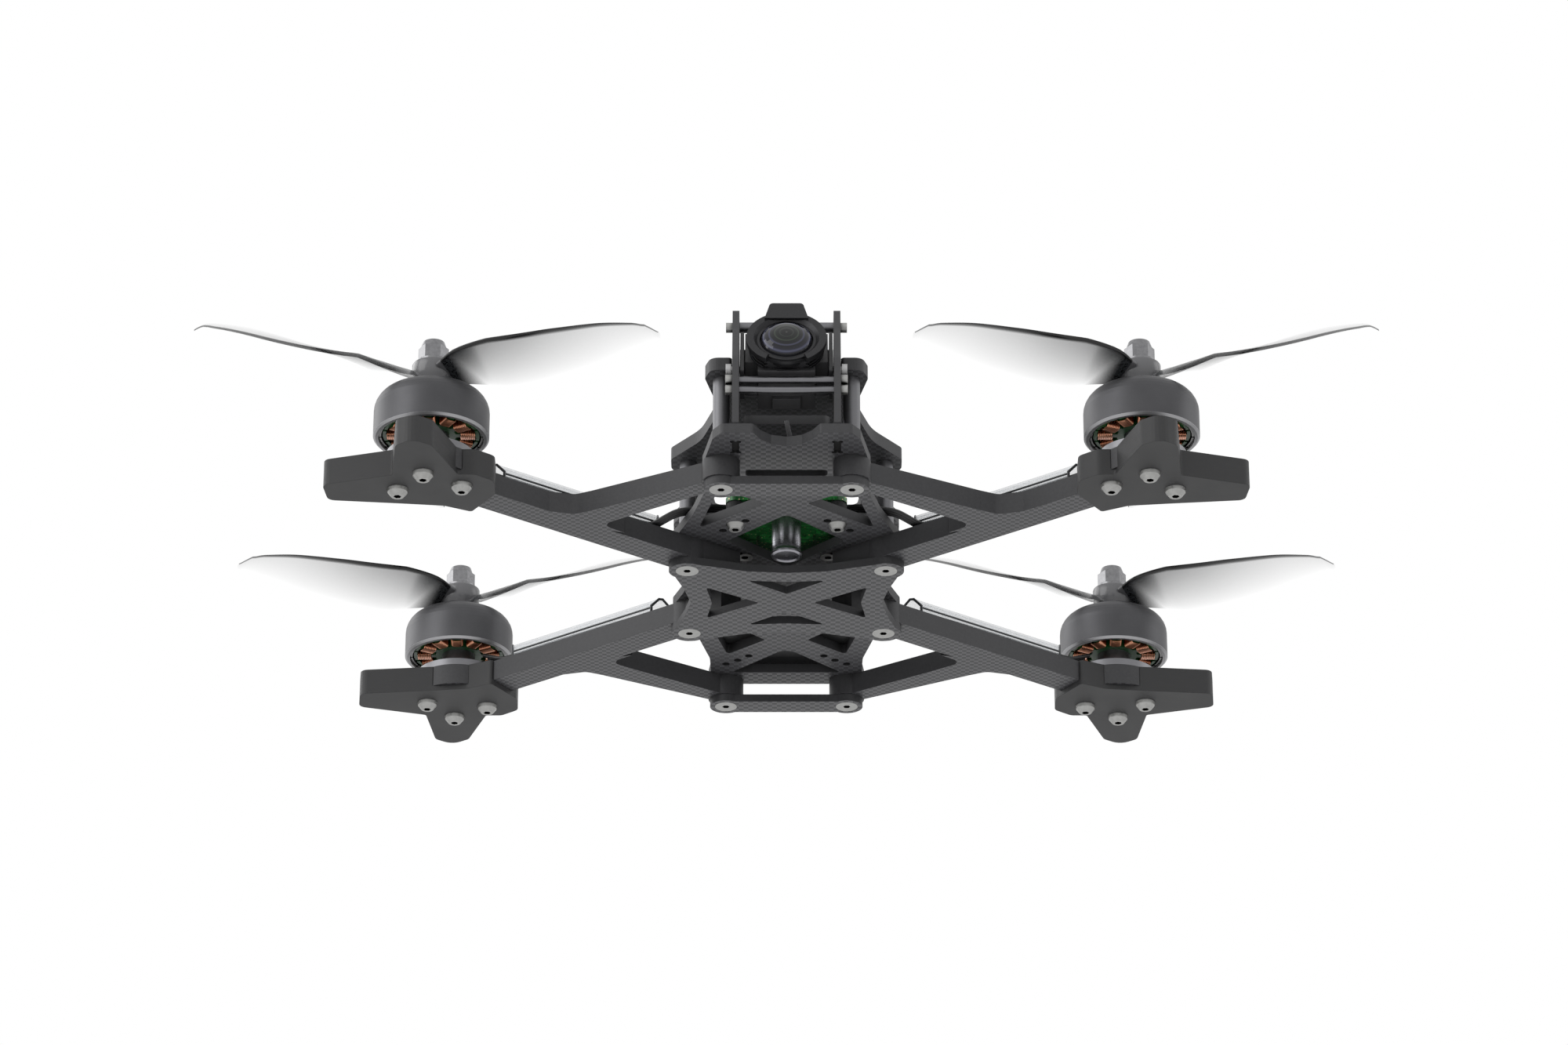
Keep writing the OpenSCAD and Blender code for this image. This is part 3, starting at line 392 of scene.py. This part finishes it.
# %% Green epoxy
epoxy = grained("green_epoxy_coating", "143a1c", "2c6434", 0.3, edge=0.2, bumps=1.5, depth=0.05)[0]
paint(epoxy, *("stator_" + q for q in quarters))
print("stators done")

# %% [markdown]
# ## Circuit boards
#
# The power board has green solder mask over copper: traces show as lighter strips and pads as small
# tinned dots about 1.3 mm apart. The controller above it is the same in black.

# %% Solder mask
def board(name, mask_dark, mask_light):
    """Solder mask with lighter traces and tinned pads."""
    mat, tree, shader, place, normal = material(name, 0.35, edge=0.1)
    cells = add(tree, "TexVoronoi", {"Vector": place, "Scale": 0.75, "Randomness": 0.6})
    pads = add(tree, "Math", [cells.outputs["Distance"], 0.2], operation="LESS_THAN")
    wander = add(tree, "TexNoise", {"Vector": add(tree, "Mapping", {"Vector": place, "Scale": (1, 3, 1)}),
                                    "Scale": 0.5, "Detail": 1.0})
    traces = add(tree, "Math", [wander, 0.55], operation="GREATER_THAN")
    mask = add(tree, "Mix", {0: traces, 6: lin(mask_dark), 7: lin(mask_light)}, data_type="RGBA")
    relief = add(tree, "Math", [traces, pads], operation="ADD")
    connect(tree, shader, {
        "Base Color": add(tree, "Mix", {0: pads, 6: mask, 7: lin("b8a884")}, data_type="RGBA"),
        "Metallic": add(tree, "Math", [pads, 0.9], operation="MULTIPLY"),
        "Normal": add(tree, "Bump", {"Height": relief, "Distance": 0.03 * mm, "Normal": normal})})
    return mat


paint(board("green_solder_mask", "0f5220", "1f7a34"), "esc_board")
paint(board("black_solder_mask", "101012", "1c1c20"), "flight_controller")
print("boards done")

# %% [markdown]
# ## Nose camera and transmitter
#
# The case is injection-moulded in dark grey plastic with spark-eroded grain. The barrel and the
# video transmitter are black anodised, which is half a metal to the eye. The bracket is painted
# steel with bright pivot screws, which stand outside the cage.

# %% Case, barrel, transmitter
paint(grained("moulded_camera_case", "2e2e30", "484849", 0.5, edge=0.3, bumps=5.0, depth=0.02)[0], "camera_body")
paint(grained("black_anodised_barrel", "1b1b1d", "2e2e30", 0.36, 0.6, bumps=2.5)[0], "lens_barrel")
paint(grained("black_anodised_transmitter", "0f0f10", "1f1f20", 0.4, 0.5)[0], "video_transmitter")

pin_from = 13.7
mat, tree, shader, place, normal = material("painted_bracket", 0.45, edge=0.2)
grain = add(tree, "TexNoise", {"Vector": place, "Scale": 3.0, "Detail": 4.0})
coat = add(tree, "Mix", {0: grain, 6: lin("28282a"), 7: lin("3c3c3e")}, data_type="RGBA")
x = add(tree, "SeparateXYZ", [place]).outputs[0]
pin = add(tree, "Math", [add(tree, "Math", [x], operation="ABSOLUTE"), pin_from], operation="GREATER_THAN")
connect(tree, shader, {
    "Base Color": add(tree, "Mix", {0: pin, 6: coat, 7: lin("c0c0c0")}, data_type="RGBA"),
    "Metallic": pin,
    "Normal": add(tree, "Bump", {"Height": grain, "Distance": 0.02 * mm, "Normal": normal})})
paint(mat, "camera_bracket")
painted_steel = mat
print("camera case, barrel, bracket and transmitter done")

# %% [markdown]
# ## Front glass
#
# The front lens is coated against reflections. The coating and the edges of the lenses behind it
# show as thin rings, blue-violet outside and green towards the middle, round a dark pupil. Real
# refraction through a stack of lenses would be slow and noisy, so a colour ramp over the distance
# from the lens axis paints the rings and the dark pupil on one glossy dome: painted reflection and
# painted shade.

# %% Coated glass
tilt = math.radians(24)
pivot_y, pivot_z = -86.5, 35.0
# Painted reflection and shade: colours of the rings and the dark pupil, by share of the lens radius.
rings = [(0.0, "20231f"), (0.08, "050606"), (0.22, "0c0e0f"), (0.26, "262b27"), (0.3, "0a0c0c"), (0.42, "101412"),
         (0.46, "30382f"), (0.5, "0c0d0f"), (0.62, "14161a"), (0.67, "3c3d50"), (0.72, "101114"), (0.84, "1a1a24"),
         (0.9, "46485c"), (0.95, "0e0e10"), (1.0, "2c2c30")]
mat, tree, shader, place, normal = material("coated_front_glass", 0.04, edge=0.05)
rel = add(tree, "VectorMath", [place, (0, pivot_y, pivot_z)], operation="SUBTRACT")
off_axis = add(tree, "VectorMath", [rel, (0, -math.cos(tilt), math.sin(tilt))], operation="CROSS_PRODUCT")
radius = add(tree, "VectorMath", [off_axis], operation="LENGTH").outputs["Value"]
ramp = add(tree, "ValToRGB", [add(tree, "Math", [radius, 7.6], operation="DIVIDE")])
for spot, tone in rings[1:-1]:
    ramp.color_ramp.elements.new(spot).color = lin(tone)
ramp.color_ramp.elements[0].color = lin(rings[0][1])
ramp.color_ramp.elements[-1].color = lin(rings[-1][1])
connect(tree, shader, {"Base Color": ramp, "Coat Weight": 0.12, "Coat Roughness": 0.02, "Specular IOR Level": 0.3})
paint(mat, "lens_glass")
print("glass rings:", len(rings))

# %% [markdown]
# ## Building pieces from code
#
# The blades, coils, duct shells and wires get meshes of their own. Each comes from rings of points
# joined by quads, so one helper turns a grid of points into faces, and another puts the finished
# piece on its body and hides the CAD solid that it stands for.

# %% Mesh helpers
motor_x, motor_y = 104.0, 78.0
z_mid, z_deck = 9.0, 12.0
sharp_angle = math.radians(38)


def grid_faces(rings, around, start=0):
    """Quads between rings of around points each."""
    return [(start + i * around + k, start + i * around + (k + 1) % around,
             start + (i + 1) * around + (k + 1) % around, start + (i + 1) * around + k)
            for i in range(rings - 1) for k in range(around)]


def caps(rings, around, start):
    """The faces that close the first and the last ring."""
    return [tuple(start + first + k for k in range(around)) for first in (0, (rings - 1) * around)]


def torus_faces(rings, around, start):
    """Quads between rings that close into a loop."""
    return [(start + i * around + k, start + i * around + (k + 1) % around,
             start + (i + 1) % rings * around + (k + 1) % around, start + (i + 1) % rings * around + k)
            for i in range(rings) for k in range(around)]


def place_piece(obj, body, stands_for):
    """Links an object, puts it on its body and hides the CAD nodes it stands for."""
    scene.collection.objects.link(obj)
    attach(obj, body)
    if stands_for:
        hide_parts(*stands_for)
    return obj


def piece(name, points, faces, mats, body, slot, *stands_for):
    """A smooth mesh from points in mm, riding on body in place of CAD nodes."""
    mesh = bpy.data.meshes.new(name)
    mesh.from_pydata([(x * mm, y * mm, z * mm) for x, y, z in points], [], faces)
    mesh.validate()
    clean = bmesh.new()
    clean.from_mesh(mesh)
    bmesh.ops.recalc_face_normals(clean, faces=clean.faces)
    clean.to_mesh(mesh)
    clean.free()
    for mat in mats:
        mesh.materials.append(mat)
    mesh.shade_smooth()
    mesh.set_sharp_from_angle(angle=sharp_angle)
    return place_piece(bpy.data.objects.new(name, mesh), body, stands_for)


def lookup(table, t):
    """Straight-line reading of a table of pairs."""
    for (t0, v0), (t1, v1) in zip(table, table[1:]):
        if t <= t1:
            return v0 + (v1 - v0) * max(0.0, t - t0) / (t1 - t0)
    return table[-1][1]


def smooth_lookup(table, t, reach=0.035):
    """The same reading, averaged over a short reach so no corner shows."""
    return sum(lookup(table, min(max(t + reach * k / 3, table[0][0]), 1.0)) for k in range(-3, 4)) / 7


print("mesh helpers ready")

# %% [markdown]
# ## Propellers
#
# Each is moulded in one piece from smoke-tinted clear polycarbonate. The blade is thick at the
# front edge and thin at the back, so the tint is densest at the leading edge and fades to almost
# nothing at the trailing edge. The dark line along the leading edge is painted shade: its colour
# stands in for the narrow edge face, which shows dark. Dark spots near the root are painted shade
# of the root's underside. We loft 44 sections per blade and store two numbers on every point: how
# far it lies across the chord and how far out along the span. The material reads them to set its
# opacity and its painted shade. Transmission with real absorption would also work, but it needs
# many more samples and looks noisy against white.

# %% Tinted polycarbonate
tinted, tree, shader, place, normal = material("smoke_tinted_polycarbonate", 0.2, edge=0.1)
across = add(tree, "Attribute", attribute_name="across").outputs["Fac"]
along = add(tree, "Attribute", attribute_name="along").outputs["Fac"]
body_tint = add(tree, "FloatCurve", {"Value": along, "Factor": 1.0})
curve = body_tint.mapping.curves[0]
curve.points[0].location = (0.0, 1.0)
curve.points[1].location = (1.0, 0.14)
for at, value in ((0.13, 0.97), (0.21, 0.76), (0.25, 0.52), (0.45, 0.35), (0.63, 0.24), (0.85, 0.15)):
    curve.points.new(at, value)
body_tint.mapping.update()
thin = add(tree, "Math", [add(tree, "Math", [1.0, across], operation="SUBTRACT"), 0.8], operation="POWER")
solid = add(tree, "MapRange", [along, 0.1, 0.22, 1.0, 0.0])
filled = add(tree, "Math", [thin, solid], operation="MAXIMUM")
veil = add(tree, "Math", [body_tint, filled], operation="MULTIPLY")
# Painted shade: a dark line along the leading edge, fading a little towards the tip.
painted_edge_shade = add(tree, "MapRange", [across, 0.055, 0.15, 1.0, 0.0], interpolation_type="SMOOTHSTEP")
fade = add(tree, "MapRange", [along, 0.4, 1.0, 1.0, 0.75])
line = add(tree, "Math", [painted_edge_shade, fade], operation="MULTIPLY")
# Painted shade: dark spots near the root, where its underside is in shade.
root_shade_noise = add(tree, "TexNoise", {"Vector": place, "Scale": 1.6, "Detail": 2.0})
root_shade_spots = add(tree, "Math", [root_shade_noise, 0.56], operation="GREATER_THAN")
root_zone = add(tree, "MapRange", [along, 0.12, 0.24, 1.0, 0.0])
painted_root_shade = add(tree, "Math", [root_shade_spots, root_zone], operation="MULTIPLY")
dark_share = add(tree, "Math", [painted_root_shade, line], operation="MAXIMUM")
tint_and_painted_shade = add(tree, "Mix", {0: dark_share, 6: lin("303234"), 7: lin("0b0b0c")}, data_type="RGBA")
hub_share = add(tree, "MapRange", [along, 0.08, 0.085, 1.0, 0.0])
sink = add(tree, "TexNoise", {"Vector": add(tree, "Mapping", {"Vector": place, "Scale": (1, 1, 0.3)}),
                              "Scale": 0.25, "Detail": 2.0})
connect(tree, shader, {
    "Base Color": add(tree, "Mix", {0: hub_share, 6: tint_and_painted_shade, 7: lin("5c5c5e")}, data_type="RGBA"),
    "Alpha": add(tree, "Math", [veil, line], operation="MAXIMUM"),
    "Normal": add(tree, "Bump", {"Height": sink, "Distance": 0.05 * mm, "Normal": normal})})
print("blade tint steps:", len(curve.points))

# %% Blade shape
prop_r, pitch, z_blade = 77.0, 130.0, 36.5
sections_per_blade, hub_steps, hub_share_across = 44, 48, 0.5
chord_mm = [(0.06, 8.6), (0.13, 12.4), (0.21, 14.4), (0.31, 16), (0.43, 16.6), (0.56, 16.2), (0.68, 14.8),
            (0.79, 12.2), (0.88, 9.4), (0.94, 7), (0.98, 4.2), (1, 1.6)]
lead_share = [(0.06, 0.6), (0.13, 0.63), (0.21, 0.56), (0.31, 0.48), (0.43, 0.43), (0.56, 0.4), (0.79, 0.32),
              (0.94, 0.2), (1, -0.4)]
thick_mm = [(0.06, 2.4), (0.3, 1.7), (0.7, 1.1), (1, 0.6)]
# Section round the blade: share of the chord and share of the thickness.
section_top = [(0, 0), (0.015, 0.2), (0.04, 0.34), (0.09, 0.5), (0.17, 0.64), (0.28, 0.73), (0.42, 0.72), (0.56, 0.64),
               (0.7, 0.49), (0.82, 0.33), (0.92, 0.17), (1, 0.05)]
section_low = [(0.92, 0.01), (0.82, 0), (0.7, -0.01), (0.56, -0.03), (0.42, -0.07), (0.28, -0.14), (0.17, -0.2),
               (0.09, -0.24), (0.04, -0.22), (0.015, -0.12)]
section = section_top + section_low
hub_profile = [(2.6, 33.1), (4.7, 33.1), (5.0, 33.4), (5.3, 34.6), (5.8, 35.7), (6.1, 36.6), (6.2, 37.6), (6.2, 40.2),
               (6.0, 40.6), (2.6, 40.6)]


def blade_ring(t):
    """One section of the blade at share t of the radius, in the blade's own frame."""
    r = prop_r * t
    chord, lead, thick = (smooth_lookup(chord_mm, t), smooth_lookup(lead_share, t), smooth_lookup(thick_mm, t))
    if t > 0.94:
        chord, lead = lookup(chord_mm, t), lookup(lead_share, t)
    twist = min(math.atan2(pitch, 2 * math.pi * r), math.radians(20 + r))
    droop = 2.4 * max(0.0, (t - 0.72) / 0.28) ** 2 + 1.8 * max(0.0, (t - 0.94) / 0.06) ** 2
    ring = []
    for s, h in section:
        x, q = chord * (lead - s), (h - 0.3) * thick
        ring.append((r, x * math.cos(twist) - q * math.sin(twist),
                     z_blade + x * math.sin(twist) + q * math.cos(twist) - droop))
    return ring


last = sections_per_blade - 1
stations = [0.06 + 0.94 * (1 - (1 - i / last) ** 1.35) for i in range(sections_per_blade)]
print("stations along a blade:", len(stations))

# %% Blades and hub of each propeller
for corner, (sx, sy) in quarters.items():
    points, faces, across_values, along_values = [], [], [], []
    for turn in (-30, 90, 210):
        start, spin = len(points), math.radians(turn)
        for t in stations:
            for (x, y, z), (s, h) in zip(blade_ring(t), section):
                x, y = x * math.cos(spin) - y * math.sin(spin), x * math.sin(spin) + y * math.cos(spin)
                points.append((motor_x * sx + (-x if sx * sy > 0 else x), motor_y * sy + y, z))
                across_values.append(s)
                along_values.append(t)
        faces += grid_faces(len(stations), len(section), start) + caps(len(stations), len(section), start)
    start = len(points)
    for k in range(hub_steps):
        a = 2 * math.pi * k / hub_steps
        for r, z in hub_profile:
            points.append((motor_x * sx + r * math.cos(a), motor_y * sy + r * math.sin(a), z))
            across_values.append(hub_share_across)
            along_values.append(0.0)
    faces += torus_faces(hub_steps, len(hub_profile), start)
    blades = piece("blades_" + corner, points, faces, [tinted], "rotor_" + corner, "polycarbonate",
                   "propeller_" + corner)
    for name, values in (("across", across_values), ("along", along_values)):
        store = blades.data.attributes.new(name, "FLOAT", "POINT")
        store.data.foreach_set("value", values)
print("propellers:", len(points), "points each")

# %% [markdown]
# ## Windings
#
# Each of the twelve teeth carries a coil of enamelled copper wire. A plain block would catch light
# as one flat bar; real turns give a row of fine bright lines with dark gaps. We wind every coil as
# eight rounded loops of 0.5 mm wire, side by side along the tooth.

# %% Enamelled copper
copper, tree, shader, place, normal = material("enamelled_copper_wire", 0.32, 1.0, edge=0.05)
drift = add(tree, "TexNoise", {"Vector": place, "Scale": 0.5, "Detail": 3.0})
enamel = add(tree, "Mix", {0: drift, 6: lin("cc8560"), 7: lin("f0b090")}, data_type="RGBA")
# Painted shade: a crevice mask turns the enamel dark brown between turns and against the stator.
crevice_shade = add(tree, "AmbientOcclusion", {"Distance": 1.2 * mm}, samples=8).outputs["AO"]
open_share = add(tree, "MapRange", [crevice_shade, 0.15, 0.6])
fine = add(tree, "TexNoise", {"Vector": place, "Scale": 5.0, "Detail": 3.0})
connect(tree, shader, {
    "Base Color": add(tree, "Mix", {0: open_share, 6: lin("1a0d08"), 7: enamel}, data_type="RGBA"),
    "Normal": add(tree, "Bump", {"Height": fine, "Distance": 0.008 * mm, "Normal": normal}),
    "Coat Weight": 0.5})
print("copper ready")

# %% Wound coils
tooth_count, turn_count, wire_side = 12, 8, 6
wire_r, first_turn, turn_gap, corner_r = 0.27, 8.9, 0.54, 0.66
loop_path = []
for cx, cz, a0 in ((0.9, 24.9, 0), (-0.9, 24.9, 90), (-0.9, 17.7, 180), (0.9, 17.7, 270)):
    loop_path += [(cx + corner_r * math.cos(math.radians(a0 + a)), cz + corner_r * math.sin(math.radians(a0 + a)))
                  for a in (0, 30, 60, 90)]
points, faces = [], []
for sx, sy in quarters.values():
    for tooth in range(tooth_count):
        spin = math.radians(360 / tooth_count * tooth)
        for turn in range(turn_count):
            start = len(points)
            x0 = first_turn + turn_gap * turn
            for i, (y, z) in enumerate(loop_path):
                yb, zb = loop_path[i - 1]
                yn, zn = loop_path[(i + 1) % len(loop_path)]
                dy, dz = yn - yb, zn - zb
                size = math.hypot(dy, dz)
                oy, oz = dz / size, -dy / size
                for k in range(wire_side):
                    a = 2 * math.pi * (k + 0.5) / wire_side
                    px, py = x0 + wire_r * math.cos(a), y + wire_r * math.sin(a) * oy
                    points.append((motor_x * sx + px * math.cos(spin) - py * math.sin(spin),
                                   motor_y * sy + px * math.sin(spin) + py * math.cos(spin),
                                   z + wire_r * math.sin(a) * oz))
            faces += torus_faces(len(loop_path), wire_side, start)
piece("wound_copper_coils", points, faces, [copper], "frame", "copper", "windings")
print("coils:", 4 * tooth_count * turn_count, "turns")

# %% [markdown]
# ## Wire ducts
#
# Thin clear profiles clip over the wires on top of every arm. Clear plastic shows mostly at its
# edges, where we look along the wall: cut ends and long lips look dark, the walls stay nearly
# white. So the walls get a thin see-through material that thickens at a grazing angle, and the cut
# faces a dark grey one, which is painted shade.

# %% Clear plastic and its cut edge
clear, tree, shader, place, normal = material("clear_extruded_plastic", 0.12, edge=0.05)
graze = add(tree, "LayerWeight", {"Blend": 0.35}).outputs["Facing"]
streaks = add(tree, "TexNoise", {"Vector": add(tree, "Mapping", {"Vector": place, "Scale": (0.2, 1, 1)}),
                                 "Scale": 1.0, "Detail": 3.0})
haze = add(tree, "Math", [streaks, 0.12, 0.08], operation="MULTIPLY_ADD")
connect(tree, shader, {
    "Base Color": lin("c8ccd0"),
    "Alpha": add(tree, "Math", [graze, 0.35, haze], operation="MULTIPLY_ADD"),
    "Normal": add(tree, "Bump", {"Height": streaks, "Distance": 0.02 * mm, "Normal": normal})})
dark_edge_paint, tree, shader, place, normal = material("clear_plastic_painted_dark_edge", 0.3, edge=0.05)
saw_marks = add(tree, "TexNoise", {"Vector": place, "Scale": 2.0, "Detail": 3.0})
connect(tree, shader, {"Base Color": add(tree, "Mix", {0: saw_marks, 6: lin("242628"), 7: lin("484a4c")},
                                         data_type="RGBA")})
print("duct plastics ready")

# %% Duct shells
duct_from, duct_to, duct_rings, cut_slant = 24, 80, 9, math.tan(math.radians(40))
arm_end_x, arm_end_y = 29.8, 22.5
arm_angle = math.atan2(arm_end_y - motor_y, arm_end_x - motor_x)
duct_section = [(-2.6, 0.05), (-2.6, 3.2), (-0.7, 5.8), (0.3, 5.8), (4.2, 0.05), (3.65, 0.05), (0.1, 5.3), (-0.5, 5.3),
                (-2.15, 3.0), (-2.15, 0.05)]
around = len(duct_section)
low_lips = (4, 9)
points, faces, edge_faces = [], [], []
for sx, sy in quarters.values():
    start = len(points)
    turn = sy * arm_angle
    for i in range(duct_rings):
        for across_arm, up in duct_section:
            y = -across_arm
            first, last = duct_from + (y - 2) * cut_slant, duct_to - (y - 2) * cut_slant
            x = first + (last - first) * i / (duct_rings - 1)
            gx = x * math.cos(turn) - y * math.sin(turn)
            gy = x * math.sin(turn) + y * math.cos(turn)
            # The arm frame points inboard for the +X quarters; the others are its mirror image.
            points.append((sx * (motor_x + gx), motor_y * sy + gy, z_mid + up))
    base = len(faces)
    faces += grid_faces(duct_rings, around, start)
    # Painted shade: the bottom faces of both lips and the two cut ends take the dark material.
    edge_faces += [base + i * around + k for i in range(duct_rings - 1) for k in low_lips]
    edge_faces += [len(faces), len(faces) + 1]
    faces += caps(duct_rings, around, start)
ducts = piece("wire_duct_shells", points, faces, [clear, dark_edge_paint], "frame", "duct_clear", "wire_ducts")
for index in edge_faces:
    ducts.data.polygons[index].material_index = 1
print("ducts:", len(faces), "faces")

# The rims, thin dark tubes of painted shade, follow both cut ends, a line high on the tall side and the low lip.
rims = []
for q in range(len(quarters)):
    ends = [points[(q * duct_rings + i) * around:(q * duct_rings + i) * around + 5] for i in range(duct_rings)]
    tall_side_line = [tuple(0.2 * a + 0.8 * b for a, b in zip(e[0], e[1])) for e in ends]
    rims += [ends[0], ends[-1], tall_side_line, [e[4] for e in ends]]
print("rims:", len(rims))

# %% [markdown]
# ## Motor wires
#
# Three silicone wires leave each motor, run side by side under the duct and turn in to the power
# board. Curves with a round bevel give the smooth round look that swept eight-sided tubes lack.

# %% Silicone and grey insulation
def insulation(name, dark, light, rough):
    """Extruded wire insulation with a faint bloom of wear."""
    mat, tree, shader, place, normal = material(name, rough, edge=0.05)
    bloom = add(tree, "TexNoise", {"Vector": place, "Scale": 1.2, "Detail": 4.0})
    connect(tree, shader, {
        "Base Color": add(tree, "Mix", {0: bloom, 6: lin(dark), 7: lin(light)}, data_type="RGBA"),
        "Normal": add(tree, "Bump", {"Height": bloom, "Distance": 0.01 * mm, "Normal": normal})})
    return mat, tree, shader, bloom


silicone, tree, shader, bloom = insulation("black_silicone_wire", "111112", "2a2a2b", 0.42)
connect(tree, shader, {"Roughness": add(tree, "Math", [bloom, 0.2, 0.34], operation="MULTIPLY_ADD")})
sleeve = insulation("grey_insulated_lead", "5c5c5e", "808082", 0.45)[0]
print("insulation ready")

# %% Wire routes
reach = Vector((arm_end_x - motor_x, arm_end_y - motor_y)).normalized()
aside = Vector((-reach.y, reach.x))
routes = []
for sx, sy in quarters.values():
    for s in (-1, 0, 1):
        route = []
        for out, wide, up in ((12.2, 2.4, 4.75), (15, 2.4, 3.55), (19, 1.8, 1.9), (22, 1.45, 1.9), (30, 1.45, 1.9),
                              (50, 1.45, 1.9), (77, 1.45, 1.5)):
            xy = Vector((motor_x, motor_y)) + reach * out - aside * (s * wide + 0.3 * sy)
            route.append((xy.x, xy.y, z_mid + up))
        side = 1.5 * s
        route += [(39.4, 33 + side, z_mid + 1.3), (36.6, 34.6 + side, z_mid + 2.4), (32.6, 35 + side, z_deck + 1.6),
                  (27, 34.2 + side, z_deck + 2.6), (21, 31.6 + side, 16.8), (18.4, 30 + side, 16.8)]
        routes.append([(sx * x, sy * y, z) for x, y, z in route])
print("routes:", len(routes))


# %% Wires and rims as curves
def wire(name, paths, radius, mat, slot, *stands_for, order=3):
    """Round wires along paths in mm, as one piece."""
    data = bpy.data.curves.new(name, "CURVE")
    data.dimensions = "3D"
    data.bevel_depth = radius * mm
    data.bevel_resolution = 4
    data.use_fill_caps = True
    for path in paths:
        spline = data.splines.new("NURBS" if order > 2 else "POLY")
        spline.points.add(len(path) - 1)
        for p, (x, y, z) in zip(spline.points, path):
            p.co = (x * mm, y * mm, z * mm, 1)
        if order > 2:
            spline.order_u = order
            spline.use_endpoint_u = True
            spline.resolution_u = 6
    data.materials.append(mat)
    place_piece(bpy.data.objects.new(name, data), "frame", stands_for)


# Painted shade: thin dark tubes along the duct edges.
wire("duct_dark_edge_lines", rims, 0.3, dark_edge_paint, "duct_clear", order=2)
wire("silicone_motor_wires", routes, 0.65, silicone, "silicone_wire", "motor_wires")
print("wires:", len(routes))

# %% [markdown]
# ## Camera lead
#
# One thin grey lead leaves the back of the camera's case low down, droops and climbs to the board
# behind it. It is a free curve in a small space, so it is drawn as a few points.

# %% Camera lead
lead_path = [(0, -80.2, 21.6), (0.4, -79.2, 19.4), (1.2, -76.8, 17.4), (1.8, -72, 16.6), (1.4, -64, 17),
             (0.6, -56, 18.6), (0.2, -50, 21), (0, -46, 23.4), (0, -43, 25.2), (0, -40.7, 26)]
wire("camera_lead", [lead_path], 0.7, sleeve, "cable_grey", "camera_cable")
print("lead points:", len(lead_path))

# %% [markdown]
# ## Camera bracket web
#
# The tilting bracket is one bent strip: its two ears are CAD solids, and the web that joins them
# passes behind the lens. We add the web as two thin ears beside the camera's case, in the lens's
# own tilted frame, so that less light falls between the case and the cage.

# %% Bracket web
web_thick = 1.0
web_points, web_faces = [], []
web_outline = [(8.6, 9.4), (13.68, 9.4), (13.68, -8.6), (12.5, -10.2), (10.9, -11), (8.6, -11)]
for side in (-1, 1):
    start, n = len(web_points), len(web_outline)
    for depth in (0.0, -web_thick):
        for u, v in web_outline:
            # depth runs along the lens axis, v across it and upward.
            web_points.append((side * u, pivot_y - depth * math.cos(tilt) + v * math.sin(tilt),
                               pivot_z + depth * math.sin(tilt) + v * math.cos(tilt)))
    web_faces += grid_faces(2, n, start) + caps(2, n, start)
piece("camera_bracket_web", web_points, web_faces, [painted_steel], "camera", "bracket_metal")
print("web:", len(web_faces), "faces")
